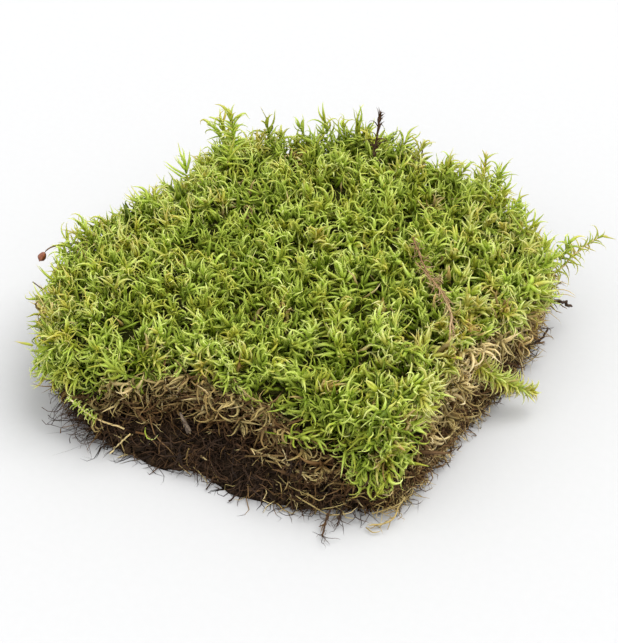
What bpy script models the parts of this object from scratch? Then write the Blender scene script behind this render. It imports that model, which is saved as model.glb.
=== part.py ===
"""A clump of living moss, lifted off the ground with the dead stems and the soil that it grew on.

Three layers lie on each other: the soil mat, the brown thatch of dead stems, and the green cushion, whose
solid reaches the tips of its leaves. Single shoots, a spore capsule on its stalk, roots and bits of litter
stand out of them, and each is a piece of its own.

The frame is in metres with +Z up. The origin is on the flat underside, below the middle of the clump. Its
two straightest sides face -Y, where the layers are torn open, and +X.
"""

from collections import namedtuple
from math import cos, pi, radians, sin, tau

import bmesh
import bpy
from mathutils import Vector

MM = 0.001
GAP = 0.3 * MM  # left between pieces that touch

# The clump's height, without the shoots that stand out of it.
CROWN_LEVEL = 25 * MM  # where the side turns over into the top
TOP_LEVEL = 34 * MM  # the leaf tips over most of the top
TOP_FLATNESS = 3.6  # exponent of the top's outline: 2 is a dome, more is flatter

# How high the soil and the thatch reach under the middle of the cushion.
SOIL_CORE = 12 * MM
THATCH_CORE = 21 * MM

SECTORS = 60
TOP_STEPS = (0.985, 0.955, 0.91, 0.85, 0.76, 0.65, 0.52, 0.38, 0.24, 0.11)
SEAM_STEPS = (0.94, 0.84, 0.7, 0.52, 0.34, 0.16)

# The side of the clump, seen from above, once round anticlockwise from +X. Foot and crown are the radii at
# the ground and at CROWN_LEVEL. Soil and thatch are the heights at which each of them ends there.
Station = namedtuple("Station", "angle foot crown soil thatch")
STATIONS = [
    Station(-165, 72, 77, 8, 12),
    Station(-145, 77, 82, 8, 11),
    Station(-132, 81, 83, 8, 10),
    Station(-120, 77, 69, 10, 15),
    Station(-106, 67, 52, 11, 20),
    Station(-90, 61, 49, 12, 21),
    Station(-74, 67, 52, 10, 20),
    Station(-58, 71, 62, 6, 15),
    Station(-44, 75, 74, 5, 9),
    Station(-28, 66, 61, 5, 15),
    Station(-10, 62, 58, 6, 20),
    Station(8, 66, 62, 6, 21),
    Station(30, 73, 74, 6, 17),
    Station(45, 77, 78, 6, 15),
    Station(64, 74, 78, 7, 14),
    Station(85, 74, 79, 7, 13),
    Station(101, 82, 86, 8, 13),
    Station(118, 78, 81, 8, 13),
    Station(134, 80, 84, 8, 13),
    Station(152, 70, 73, 8, 12),
    Station(174, 68, 72, 8, 12),
]

# Hollows in the top where the cushion parts: x, y, radius and depth in millimetres.
HOLLOWS = [(24, -10, 8, 4), (-16, -22, 7, 3), (6, 26, 7, 2.5), (-40, 8, 8, 2.5), (40, 30, 8, 2.5)]

# Colour and roughness of each finish.
FINISHES = [
    ("soil", (0.045, 0.028, 0.018), 0.95),
    ("dead_moss", (0.36, 0.25, 0.10), 0.85),
    ("living_moss", (0.30, 0.42, 0.06), 0.6),
    ("brown_moss", (0.17, 0.10, 0.045), 0.8),
    ("straw", (0.56, 0.40, 0.20), 0.75),
    ("spore_case", (0.28, 0.085, 0.03), 0.5),
    ("root", (0.035, 0.024, 0.02), 0.8),
    ("wood", (0.33, 0.25, 0.16), 0.85),
]

# What stands out of the clump or lies against it, as round strands in millimetres: the route of the middle,
# from the root outwards, and the radii along it. A shoot's radius reaches the tips of its leaves.
Strand = namedtuple("Strand", "name finish route widths")
STRANDS = [
    Strand(
        "spore_stalk",
        "brown_moss",
        [(-66, -10, 24), (-74, -14.5, 26.8), (-78, -19, 27.8), (-80.6, -21.4, 27.6), (-81.1, -22.3, 26.9)],
        (0.3, 0.26, 0.24),
    ),
    Strand("tall_shoot", "living_moss", [(-52, 46, 27), (-54, 50, 34), (-57, 53.5, 43.5)], (2.4, 3.0, 1.0)),
    Strand("pale_shoot", "living_moss", [(30, 62, 25), (30, 66, 33), (28.5, 70, 43)], (2.4, 2.9, 0.8)),
    Strand("dead_shoot", "brown_moss", [(-10, 68, 27), (-12, 74, 35), (-12.6, 78, 42.5)], (1.6, 2.4, 0.7)),
    Strand(
        "side_runner",
        "living_moss",
        [(58, 38, 19), (64, 47, 21.5), (65.5, 53.8, 24), (68.5, 58.9, 26), (72.5, 63, 28)],
        (1.6, 2.6, 2.8, 0.9),
    ),
    Strand(
        "lower_sprig",
        "living_moss",
        [(54, -1, 15), (61, 0.3, 13.5), (67.7, 2.4, 10), (72.4, 5.4, 8)],
        (2.2, 2.8, 1.0),
    ),
    Strand(
        "fallen_sprig",
        "living_moss",
        [(-27, -65, 9.3), (-33.5, -66.3, 10), (-37.5, -67, 11.5), (-41, -66.5, 13), (-45.5, -66, 15)],
        (0.7, 0.8, 1.0, 1.8, 1.6),
    ),
    Strand(
        "dry_strand",
        "straw",
        [(23, 25.5, 35.4), (29.5, 16.5, 35.7), (35, 10, 34.9), (43.5, 3.8, 34.9), (51.5, -9.5, 32.6)],
        (0.5, 1.1, 1.2, 0.7),
    ),
    Strand(
        "straw_needle",
        "straw",
        [(-26, -65.5, 6.5), (-28.5, -67.8, 3.6), (-30, -69.5, 1)],
        (0.5, 0.6, 0.3),
    ),
    Strand(
        "forked_root",
        "root",
        [(36, -56, 4), (38.6, -63.6, 2.8), (39.2, -67.6, 1.8), (40.2, -70.8, 1)],
        (0.8, 0.8, 0.6, 0.3),
    ),
    Strand(
        "hooked_root",
        "root",
        [(40.5, -55, 4), (41, -60, 3.2), (41.6, -62.8, 2.4), (42, -65.4, 1)],
        (0.7, 0.6, 0.5, 0.3),
    ),
    Strand(
        "amber_root",
        "straw",
        [(54, -50, 4), (55.6, -56, 3.2), (53.2, -59.2, 1.8), (49, -60.5, 1)],
        (0.7, 0.7, 0.5, 0.35),
    ),
    Strand(
        "bent_stick",
        "root",
        [(56, 40.5, 10.5), (63, 44.6, 11), (66.5, 46.2, 11.4), (69.1, 49, 8)],
        (0.8, 0.8, 0.7, 0.45),
    ),
    Strand("thin_twig", "root", [(58, 19, 9), (66.4, 23.6, 11), (68.2, 28.4, 14.3)], (0.5, 0.5, 0.35)),
]


def clear_scene():
    for obj in list(bpy.data.objects):
        bpy.data.objects.remove(obj)


def finish(name, colour, roughness):
    """A matt natural surface."""
    material = bpy.data.materials.new(name)
    material.use_nodes = True
    shader = material.node_tree.nodes["Principled BSDF"]
    shader.inputs["Base Color"].default_value = (*colour, 1)
    shader.inputs["Roughness"].default_value = roughness
    shader.inputs["Metallic"].default_value = 0
    material.diffuse_color = (*colour, 1)
    return material


def add_mesh(name, bm, material):
    mesh = bpy.data.meshes.new(name)
    bm.to_mesh(mesh)
    bm.free()
    mesh.shade_smooth()
    mesh.set_sharp_from_angle(angle=radians(50))
    mesh.materials.append(material)
    obj = bpy.data.objects.new(name, mesh)
    bpy.context.scene.collection.objects.link(obj)
    return obj


# ---------------------------------------------------------------- the shape of the clump


def smooth(t):
    t = min(max(t, 0.0), 1.0)
    return t * t * (3 - 2 * t)


def station_value(angle, field):
    """A field of STATIONS at any angle, in metres, on a smooth curve through the stations."""
    turn = (angle - STATIONS[0].angle) % 360
    places = [s.angle - STATIONS[0].angle for s in STATIONS] + [360]
    after = next(i for i, place in enumerate(places) if place > turn)
    values = [getattr(s, field) for s in STATIONS]
    a, b, c, d = (values[(after + k) % len(values)] for k in (-2, -1, 0, 1))
    t = (turn - places[after - 1]) / (places[after] - places[after - 1])
    curve = b + 0.5 * t * (c - a + t * (2 * a - 5 * b + 4 * c - d + t * (3 * (b - c) + d - a)))
    return curve * MM


def lump(x, y, size, seed):
    """A soft unevenness between about -1 and 1, with humps about this size apart."""
    waves = (
        (1.0, 0.0, 0.3),
        (0.42, 0.91, 1.7),
        (-0.61, 0.79, 4.1),
        (0.87, -0.5, 2.6),
    )
    return sum(sin(tau * (x * u + y * v) / size + phase * seed) for u, v, phase in waves) / 2.4


def side_radius(angle, z):
    """How far out the side stands at this height: the foot below, the crown above, and bumps between."""
    foot = station_value(angle, "foot")
    crown = station_value(angle, "crown")
    radius = foot + (crown - foot) * smooth(z / CROWN_LEVEL)
    turn = radians(angle)
    bump = lump(radius * cos(turn) + 1.6 * z, radius * sin(turn) - 1.6 * z, 21 * MM, 1.3)
    return radius + 1.3 * MM * bump


def at(angle, radius, z):
    return Vector((radius * cos(radians(angle)), radius * sin(radians(angle)), z))


def top_point(angle, share):
    """A point of the upper outside, from the middle (share 0) to the crown line (share 1)."""
    spot = at(angle, share * side_radius(angle, CROWN_LEVEL), 0)
    rise = (1 - share**TOP_FLATNESS) ** (1 / TOP_FLATNESS)
    z = CROWN_LEVEL + (TOP_LEVEL - CROWN_LEVEL) * rise
    z += rise * 1.1 * MM * lump(spot.x, spot.y, 26 * MM, 2.1)
    for x, y, radius, depth in HOLLOWS:
        distance = (spot.xy - Vector((x, y)) * MM).length / (radius * MM)
        z -= rise * depth * MM * (1 - smooth(distance))
    spot.z = z
    return spot


def seam_point(angle, share, field, core, lift):
    """A point of the seam on which one layer ends and the next begins, this far above the seam itself."""
    edge = station_value(angle, field)
    z = core + (edge - core) * smooth((share - 0.45) / 0.5)
    spot = at(angle, share * side_radius(angle, edge), z + lift)
    spot.z += (1 - share) * 1.2 * MM * lump(spot.x, spot.y, 24 * MM, 3.7)
    return spot


def side_rings(angles, low, high, steps):
    """The rings of a layer's side, between two functions of the angle that give its lower and upper edge."""
    rings = []
    for step in range(steps + 1):
        ring = []
        for angle in angles:
            z = low(angle) + (high(angle) - low(angle)) * step / steps
            ring.append(at(angle, side_radius(angle, z), z))
        rings.append(ring)
    return rings


def loft(name, rings, first, last, material):
    """A closed solid over rings that run out from the point first, up the side, and in to the point last.

    Its four-sided patches are split along the same diagonal on both sides of a seam, so that two layers
    keep their gap all over.
    """
    bm = bmesh.new()
    loops = [[bm.verts.new(point) for point in ring] for ring in rings]
    start, end = bm.verts.new(first), bm.verts.new(last)
    for i in range(SECTORS):
        j = (i + 1) % SECTORS
        bm.faces.new((start, loops[0][j], loops[0][i]))
        bm.faces.new((end, loops[-1][i], loops[-1][j]))
        for near, far in zip(loops, loops[1:]):
            if far[i].co.xy.length > near[i].co.xy.length:
                bm.faces.new((near[i], near[j], far[j]))
                bm.faces.new((near[i], far[j], far[i]))
            else:
                bm.faces.new((near[i], near[j], far[i]))
                bm.faces.new((near[j], far[j], far[i]))
    return add_mesh(name, bm, material)


def sector_angles():
    return [360 * i / SECTORS for i in range(SECTORS)]


def soil_seam(angle, share, lift):
    return seam_point(angle, share, "soil", SOIL_CORE, lift)


def thatch_seam(angle, share, lift):
    return seam_point(angle, share, "thatch", THATCH_CORE, lift)


def soil_mat(material):
    """Dark humus bound by roots, flat underneath where it was lifted off the ground."""
    angles = sector_angles()
    side = side_rings(angles, lambda a: 0.0, lambda a: station_value(a, "soil"), 3)
    seam = [[soil_seam(a, share, 0.0) for a in angles] for share in SEAM_STEPS]
    middle = soil_seam(0, 0, 0.0)
    return loft("soil_mat", side + seam, Vector((0, 0, 0)), middle, material)


def brown_thatch(material):
    """The dead lower stems and leaves, matted together between the soil and the living moss."""
    angles = sector_angles()
    under = [[soil_seam(a, share, GAP) for a in angles] for share in reversed(SEAM_STEPS)]
    side = side_rings(
        angles, lambda a: station_value(a, "soil") + GAP, lambda a: station_value(a, "thatch"), 3
    )
    over = [[thatch_seam(a, share, 0.0) for a in angles] for share in SEAM_STEPS]
    first, last = soil_seam(0, 0, GAP), thatch_seam(0, 0, 0.0)
    return loft("brown_thatch", under + side + over, first, last, material)


def green_cushion(material):
    """The living shoots, as one solid out to the tips of their leaves."""
    angles = sector_angles()
    under = [[thatch_seam(a, share, GAP) for a in angles] for share in reversed(SEAM_STEPS)]
    side = side_rings(
        angles, lambda a: station_value(a, "thatch") + GAP, lambda a: CROWN_LEVEL, 4
    )
    over = [[top_point(a, share) for a in angles] for share in TOP_STEPS]
    first, last = thatch_seam(0, 0, GAP), top_point(0, 0)
    return loft("green_cushion", under + side + over, first, last, material)


# ---------------------------------------------------------------- single pieces that stand out


def bezier_route(points, per_span=6):
    """Points along a smooth curve through the given ones, which are in millimetres."""
    stops = [Vector(p) * MM for p in points]
    ends = [2 * stops[0] - stops[1], *stops, 2 * stops[-1] - stops[-2]]
    route = []
    for a, b, c, d in zip(ends, ends[1:], ends[2:], ends[3:]):
        for step in range(per_span):
            t = step / per_span
            pull = 2 * a - 5 * b + 4 * c - d + t * (3 * (b - c) + d - a)
            route.append(b + 0.5 * t * (c - a + t * pull))
    return [*route, stops[-1]]


def strand(name, points, widths, material, sides=6):
    """A round strand along a smooth route. Widths are its radii from root to tip, in millimetres."""
    route = bezier_route(points)
    bm = bmesh.new()
    rings = []
    for i, spot in enumerate(route):
        ahead = route[min(i + 1, len(route) - 1)] - route[max(i - 1, 0)]
        turn = ahead.to_track_quat("Z", "Y").to_matrix()
        place = i / (len(route) - 1) * (len(widths) - 1)
        low = min(int(place), len(widths) - 2)
        radius = (widths[low] + (widths[low + 1] - widths[low]) * smooth(place - low)) * MM
        corners = [Vector((cos(tau * k / sides), sin(tau * k / sides), 0)) for k in range(sides)]
        rings.append([bm.verts.new(spot + turn @ (corner * radius)) for corner in corners])
    for near, far in zip(rings, rings[1:]):
        for k in range(sides):
            j = (k + 1) % sides
            bm.faces.new((near[k], near[j], far[j], far[k]))
    bm.faces.new(reversed(rings[0]))
    bm.faces.new(rings[-1])
    return add_mesh(name, bm, material)


def spore_capsule(material):
    """The squat spore case that nods from the end of its stalk."""
    length, width, steps = 3.4 * MM, 2.5 * MM, 6
    bm = bmesh.new()
    bmesh.ops.create_uvsphere(bm, u_segments=12, v_segments=steps, radius=0.5)
    for vert in bm.verts:
        shoulder = 1 + 0.18 * sin(pi * vert.co.z)  # widest a little towards the mouth
        vert.co.xy *= width * shoulder
        vert.co.z *= length
    bmesh.ops.recalc_face_normals(bm, faces=bm.faces)
    capsule = add_mesh("spore_capsule", bm, material)
    hang = Vector((-0.46, -0.24, -0.86))
    capsule.rotation_mode = "QUATERNION"
    capsule.rotation_quaternion = hang.to_track_quat("Z", "Y")
    capsule.location = Vector((-81.2, -22.5, 26.6)) * MM + hang.normalized() * length * 0.62
    return capsule


def wood_chip(material):
    """A splinter of wood caught in the torn side."""
    bm = bmesh.new()
    bmesh.ops.create_cube(bm, size=1)
    for vert in bm.verts:
        taper = 0.45 if vert.co.z < 0 else 1.0
        vert.co = Vector((vert.co.x * 2.2 * taper, vert.co.y * 1.3 * taper, vert.co.z * 8)) * MM
    bmesh.ops.bevel(bm, geom=bm.edges[:], offset=0.25 * MM, segments=1, affect="EDGES")
    chip = add_mesh("wood_chip", bm, material)
    chip.location = Vector((-10.3, -58.6, 13.2)) * MM
    chip.rotation_mode = "QUATERNION"
    chip.rotation_quaternion = Vector((5.4, -2.7, -4.1)).to_track_quat("Z", "Y")
    return chip


def clear_of(piece, layers):
    """Cuts off what of this piece lies in the layers, with the gap that touching pieces keep."""
    for layer in layers:
        cut = piece.modifiers.new("clear_of_" + layer.name, "BOOLEAN")
        cut.operation = "DIFFERENCE"
        cut.solver = "EXACT"
        cut.object = layer


def cutter_of(layer):
    """A copy of a layer that is a gap larger all over."""
    cutter = layer.copy()
    cutter.data = layer.data.copy()
    cutter.name = layer.name + "_cutter"
    for vert, normal in zip(cutter.data.vertices, [v.normal.copy() for v in layer.data.vertices]):
        vert.co += normal * GAP * 1.4
    cutter.hide_render = True
    cutter.display_type = "WIRE"
    bpy.context.scene.collection.objects.link(cutter)
    return cutter


def stand_on_origin(pieces):
    """Moves the clump as a whole, so that the origin lies under the middle of its box."""
    bpy.context.view_layer.update()
    graph = bpy.context.evaluated_depsgraph_get()
    corners = []
    for piece in pieces:
        shape = piece.evaluated_get(graph)
        corners += [shape.matrix_world @ vert.co for vert in shape.data.vertices]
    clump = bpy.data.objects.new("clump", None)
    bpy.context.scene.collection.objects.link(clump)
    for axis in (0, 1):
        places = [corner[axis] for corner in corners]
        clump.location[axis] = -(min(places) + max(places)) / 2
    for piece in bpy.data.objects:
        if piece is not clump:
            piece.parent = clump


def main():
    clear_scene()
    finishes = {name: finish(name, colour, roughness) for name, colour, roughness in FINISHES}
    layers = [
        soil_mat(finishes["soil"]),
        brown_thatch(finishes["dead_moss"]),
        green_cushion(finishes["living_moss"]),
    ]
    cutters = [cutter_of(layer) for layer in layers]

    loose = [
        strand(spec.name, spec.route, spec.widths, finishes[spec.finish]) for spec in STRANDS
    ]
    loose.append(wood_chip(finishes["wood"]))
    for piece in loose:
        clear_of(piece, cutters)
    stand_on_origin([*layers, *loose, spore_capsule(finishes["spore_case"])])


main()
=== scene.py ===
"""A clump of living moss on its brown thatch and dark soil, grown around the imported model.

Run it as a script. Each operator grows or shapes one group of pieces, and main() calls them in order.
"""

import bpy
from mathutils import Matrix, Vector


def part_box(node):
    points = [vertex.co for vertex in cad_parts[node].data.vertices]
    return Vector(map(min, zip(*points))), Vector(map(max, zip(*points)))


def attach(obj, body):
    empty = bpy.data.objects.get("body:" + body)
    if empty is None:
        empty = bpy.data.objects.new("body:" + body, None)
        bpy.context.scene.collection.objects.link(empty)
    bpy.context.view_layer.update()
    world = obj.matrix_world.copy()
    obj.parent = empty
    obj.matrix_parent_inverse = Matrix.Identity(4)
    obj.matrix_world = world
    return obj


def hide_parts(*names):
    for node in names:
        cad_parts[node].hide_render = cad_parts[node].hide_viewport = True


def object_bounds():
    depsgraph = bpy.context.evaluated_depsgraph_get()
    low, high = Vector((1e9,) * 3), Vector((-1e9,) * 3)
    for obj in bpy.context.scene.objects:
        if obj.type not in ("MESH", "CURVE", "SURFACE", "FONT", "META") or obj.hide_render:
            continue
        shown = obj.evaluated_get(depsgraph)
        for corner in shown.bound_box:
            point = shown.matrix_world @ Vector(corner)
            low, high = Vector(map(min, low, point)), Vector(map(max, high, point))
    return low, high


bl_info = {
    "name": "Moss clump",
    "version": (1, 0, 0),
    "blender": (4, 5, 0),
    "location": "3D View > Sidebar > Moss",
    "description": "Grows the leaves, dead stems, roots and soil of a moss clump",
    "category": "Add Mesh",
}

from math import cos, pi, radians, sin, tau

import bpy
import numpy as np
from mathutils import Vector

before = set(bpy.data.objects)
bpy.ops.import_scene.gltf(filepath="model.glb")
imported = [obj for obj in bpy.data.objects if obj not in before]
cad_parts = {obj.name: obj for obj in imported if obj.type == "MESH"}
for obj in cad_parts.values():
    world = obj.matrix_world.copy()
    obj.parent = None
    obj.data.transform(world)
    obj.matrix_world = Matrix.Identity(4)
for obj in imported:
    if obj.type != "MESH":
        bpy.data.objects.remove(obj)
CAD_BOX = [list(corner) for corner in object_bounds()]
BODY = "root"
MM = 0.001
SHADE_MAP = "OFBake"  # a blade's own map: its length runs along U, and V picks its shade
UP = np.array((0.0, 0.0, 1.0))
MIDDLE = (Vector(CAD_BOX[0]) + Vector(CAD_BOX[1])) / 2
TARGET = Vector((5.25, -7.05, 12)) * MM  # what the camera looks at
LOWEST = 0.05 * MM  # where leaves and crumbs stop above the floor
MERGE = 0.01 * MM  # corners of a solid nearer than this are one
THATCH_FRAY = 3 * MM  # how far the thatch draws in at the frayed corner
CLEAR = 0.3  # the dead leaves keep out of a hollow where it is deeper than this share
LEAF_TURN = radians(137.5)  # from each leaf on a stem round to the next
MATERIALS = {}


# ---------------------------------------------------------------- settings


class MossSizes(bpy.types.PropertyGroup):
    """Sizes of the living moss."""

    shoot_gap: bpy.props.FloatProperty(
        name="Shoot gap", description="Least distance between two shoots", default=0.0047, unit="LENGTH"
    )
    shoot_length: bpy.props.FloatProperty(
        name="Shoot length", description="Length of a shoot that can be seen", default=0.013, unit="LENGTH"
    )
    leaf_length: bpy.props.FloatProperty(
        name="Leaf length", description="Length of a full-grown leaf", default=0.0088, unit="LENGTH"
    )
    leaf_width: bpy.props.FloatProperty(
        name="Leaf width", description="Width of a full-grown leaf", default=0.00145, unit="LENGTH"
    )
    leaves: bpy.props.IntProperty(name="Leaves", description="Leaves on one shoot", default=22)


class LitterSizes(bpy.types.PropertyGroup):
    """Sizes of the dead thatch, the roots and the soil."""

    dead_leaf_length: bpy.props.FloatProperty(
        name="Dead leaf length", description="Length of a dry leaf", default=0.0092, unit="LENGTH"
    )
    dead_leaf_width: bpy.props.FloatProperty(
        name="Dead leaf width", description="Width of a dry leaf", default=0.00088, unit="LENGTH"
    )
    root_length: bpy.props.FloatProperty(
        name="Root length", description="Length of a fine root", default=0.009, unit="LENGTH"
    )
    root_width: bpy.props.FloatProperty(
        name="Root width", description="Width of a fine root", default=0.00026, unit="LENGTH"
    )
    crumb_size: bpy.props.FloatProperty(
        name="Crumb size", description="Size of a crumb of soil", default=0.0011, unit="LENGTH"
    )


class MossColours(bpy.types.PropertyGroup):
    """The colours that set the look of the clump."""

    leaf: bpy.props.FloatVectorProperty(
        name="Leaf", description="A leaf in full light", subtype="COLOR", default=(0.575, 0.72, 0.095)
    )
    leaf_tip: bpy.props.FloatVectorProperty(
        name="Leaf tip", description="The pale end of a leaf", subtype="COLOR", default=(0.93, 0.97, 0.42)
    )
    straw: bpy.props.FloatVectorProperty(
        name="Straw", description="A dry dead leaf", subtype="COLOR", default=(0.50, 0.395, 0.15)
    )
    soil: bpy.props.FloatVectorProperty(
        name="Soil", description="The dark humus", subtype="COLOR", default=(0.022, 0.013, 0.007)
    )
    floor: bpy.props.FloatVectorProperty(
        name="Floor", description="The plain pale floor", subtype="COLOR", default=(0.465, 0.465, 0.465)
    )


class StageSizes(bpy.types.PropertyGroup):
    """Where the camera stands."""

    azimuth: bpy.props.FloatProperty(
        name="Azimuth", description="How far round the camera stands", default=radians(27), subtype="ANGLE"
    )
    elevation: bpy.props.FloatProperty(
        name="Elevation", description="How high the camera stands", default=radians(39), subtype="ANGLE"
    )
    distance: bpy.props.FloatProperty(
        name="Distance", description="From the camera to what it looks at", default=0.5, unit="LENGTH"
    )
    lens: bpy.props.FloatProperty(name="Lens", description="Focal length in millimetres", default=90)


# ---------------------------------------------------------------- small helpers


def deselect():
    if bpy.context.mode != "OBJECT":
        bpy.ops.object.mode_set(mode="OBJECT")
    bpy.ops.object.select_all(action="DESELECT")


def select_only(obj):
    deselect()
    obj.select_set(True)
    bpy.context.view_layer.objects.active = obj


def unit(vectors):
    return vectors / np.maximum(np.linalg.norm(vectors, axis=-1, keepdims=True), 1e-12)


def side_of(axis, rng):
    """Any direction square to each axis, turned at random."""
    return unit(np.cross(axis, unit(rng.normal(size=axis.shape))))


def points_of(obj):
    return np.array([vert.co[:] for vert in obj.data.vertices])


def move_points(obj, points):
    obj.data.vertices.foreach_set("co", points.astype(np.float32).ravel())
    obj.data.update()


def place_piece(piece, node):
    """Ties a finished piece to the body and hides the solid that it stands for."""
    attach(piece, BODY)
    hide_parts(node)


def mesh_piece(name, points, faces, material, shades=None):
    """An object from arrays: its points, its triangles, and a map of each triangle's corners."""
    mesh = bpy.data.meshes.new(name)
    mesh.vertices.add(len(points))
    mesh.vertices.foreach_set("co", np.ascontiguousarray(points, np.float32).ravel())
    mesh.loops.add(len(faces) * 3)
    mesh.loops.foreach_set("vertex_index", np.ascontiguousarray(faces, np.int32).ravel())
    mesh.polygons.add(len(faces))
    mesh.polygons.foreach_set("loop_start", np.arange(0, len(faces) * 3, 3, dtype=np.int32))
    mesh.update(calc_edges=True)
    mesh.validate()
    if shades is not None:
        layer = mesh.uv_layers.new(name=SHADE_MAP)
        layer.data.foreach_set("uv", np.ascontiguousarray(shades, np.float32).ravel())
    mesh.materials.append(material)
    piece = bpy.data.objects.new(name, mesh)
    bpy.context.scene.collection.objects.link(piece)
    select_only(piece)
    bpy.ops.object.shade_smooth()
    return piece


class Blades:
    """Gathers many bent copies of patterns, and makes one piece of them."""

    def __init__(self):
        self.points, self.faces, self.shades, self.count = [], [], [], 0

    def add(self, pattern, routes, across, up, width, depth, shade):
        """Bends a copy of the pattern along each route. Width, depth and shade are one number a copy."""
        copies = len(routes)
        if not copies:
            return
        level, offset = pattern["level"], pattern["offset"]
        wide = (offset[:, 0] * width[:, None])[..., None] * across[:, level]
        deep = (offset[:, 1] * depth[:, None])[..., None] * up[:, level]
        points = routes[:, level] + wide + deep
        faces = pattern["faces"][None] + (np.arange(copies) * len(level))[:, None, None]
        along = 0.02 + 0.96 * pattern["along"]
        spread = 0.006 * offset[:, 0] + 0.003 * offset[:, 1]
        shade = np.clip(shade, 0.02, 0.98)[:, None] + spread[None]
        map_points = np.stack([np.broadcast_to(along, shade.shape), shade], -1)
        corners = map_points[:, pattern["faces"]]
        self.faces.append(faces.reshape(-1, 3) + self.count)
        self.points.append(points.reshape(-1, 3))
        self.shades.append(corners.reshape(-1, 2))
        self.count += copies * len(level)

    def place(self, name, finish, slot, node):
        """Makes one piece of the copies and puts it in the place of a solid."""
        points, faces = np.concatenate(self.points), np.concatenate(self.faces)
        points[:, 2] = np.maximum(points[:, 2], LOWEST)
        piece = mesh_piece(name, points, faces, MATERIALS[finish], np.concatenate(self.shades))
        place_piece(piece, node)


# ---------------------------------------------------------------- what repeats, modelled once


def read_pattern():
    """Takes the pattern that has just been modelled apart into arrays, and removes its object."""
    bpy.ops.object.mode_set(mode="OBJECT")
    obj = bpy.context.object
    points = points_of(obj)
    faces = np.array([face.vertices[:] for face in obj.data.polygons])
    bpy.data.objects.remove(obj)
    return points, faces


def blade_pattern(levels, widths, corners=3):
    """A straight blade 1 long and 1 wide, closed at both ends, and drawn to a point where its width is 0.

    Three corners make a leaf with a flat upper side and a keel below. The keel lies on -Y.
    """
    deselect()
    bpy.ops.mesh.primitive_circle_add(vertices=corners, radius=0.577, fill_type="NGON", rotation=(0, 0, pi))
    bpy.ops.object.transform_apply(location=True, rotation=True, scale=True)
    bpy.ops.object.mode_set(mode="EDIT")
    bpy.ops.mesh.select_all(action="SELECT")
    bpy.ops.transform.resize(value=(widths[0], widths[0], 1), center_override=(0, 0, 0))
    for low, high, was, now in zip(levels, levels[1:], widths, widths[1:]):
        bpy.ops.mesh.extrude_region_move(TRANSFORM_OT_translate={"value": (0, 0, high - low)})
        if now:
            bpy.ops.transform.resize(value=(now / was, now / was, 1), center_override=(0, 0, high))
        else:
            bpy.ops.mesh.merge(type="CENTER")
    bpy.ops.mesh.select_all(action="SELECT")
    bpy.ops.mesh.quads_convert_to_tris()
    bpy.ops.mesh.normals_make_consistent(inside=False)
    points, faces = read_pattern()
    levels = np.array(levels)
    level = np.abs(points[:, 2:] - levels).argmin(1)
    return {"levels": levels, "level": level, "offset": points[:, :2], "along": points[:, 2], "faces": faces}


def crumb_pattern():
    """A knobbly little lump, 1 across."""
    deselect()
    bpy.ops.mesh.primitive_ico_sphere_add(subdivisions=1, radius=0.5)
    bpy.ops.object.mode_set(mode="EDIT")
    bpy.ops.mesh.select_all(action="SELECT")
    bpy.ops.transform.vertex_random(offset=0.14, seed=4)
    bpy.ops.mesh.normals_make_consistent(inside=False)
    return read_pattern()


LEAF = blade_pattern((0, 0.2, 0.4, 0.58, 0.74, 0.88, 1), (0.75, 1, 0.88, 0.64, 0.40, 0.22, 0))
SHORT = blade_pattern((0, 0.3, 0.65, 1), (0.8, 1, 0.6, 0))
STEM = blade_pattern((0, 0.35, 0.7, 1), (1, 1, 0.85, 0))
FIBRE = blade_pattern((0, 0.16, 0.34, 0.52, 0.7, 0.86, 1), (1, 1, 0.95, 0.85, 0.7, 0.5, 0))
FINE = blade_pattern((0, 0.28, 0.58, 0.82, 1), (1, 0.95, 0.8, 0.5, 0))
RUN = blade_pattern([i / 16 for i in range(17)], (1,) * 15 + (0.8, 0), corners=6)


def bent_routes(base, axis, out, length, splay, curl, sway, twist, pattern, pull=None):
    """The middle lines of many blades, with the two directions square to each line at each level.

    A blade leaves its stem at the angle splay from axis towards out, and its angle grows by curl, most
    of it near the tip. Sway bends it sideways and twist turns it about its own line, all in radians.
    Pull is a vector that its tip turns to.
    """
    side = np.cross(axis, out)
    t = pattern["levels"]
    middle = (t[1:] + t[:-1]) / 2
    pull = np.zeros_like(base) if pull is None else pull

    def directions(places):
        angle = splay[:, None] + curl[:, None] * places**2
        turn = sway[:, None] * places**2
        flat = np.cos(turn)[..., None] * out[:, None] + np.sin(turn)[..., None] * side[:, None]
        along = np.cos(angle)[..., None] * axis[:, None] + np.sin(angle)[..., None] * flat
        along = unit(along + pull[:, None] * (places**2)[:, None])
        across = np.cos(turn)[..., None] * side[:, None] - np.sin(turn)[..., None] * out[:, None]
        across = unit(across - (across * along).sum(-1, keepdims=True) * along)
        return along, across

    steps = directions(middle)[0] * (np.diff(t)[None, :, None] * length[:, None, None])
    routes = np.concatenate([np.zeros((len(base), 1, 3)), np.cumsum(steps, 1)], 1) + base[:, None]
    along, across = directions(t)
    up = np.cross(along, across)
    roll = (twist[:, None] * t)[..., None]
    return routes, np.cos(roll) * across + np.sin(roll) * up, np.cos(roll) * up - np.sin(roll) * across


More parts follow.
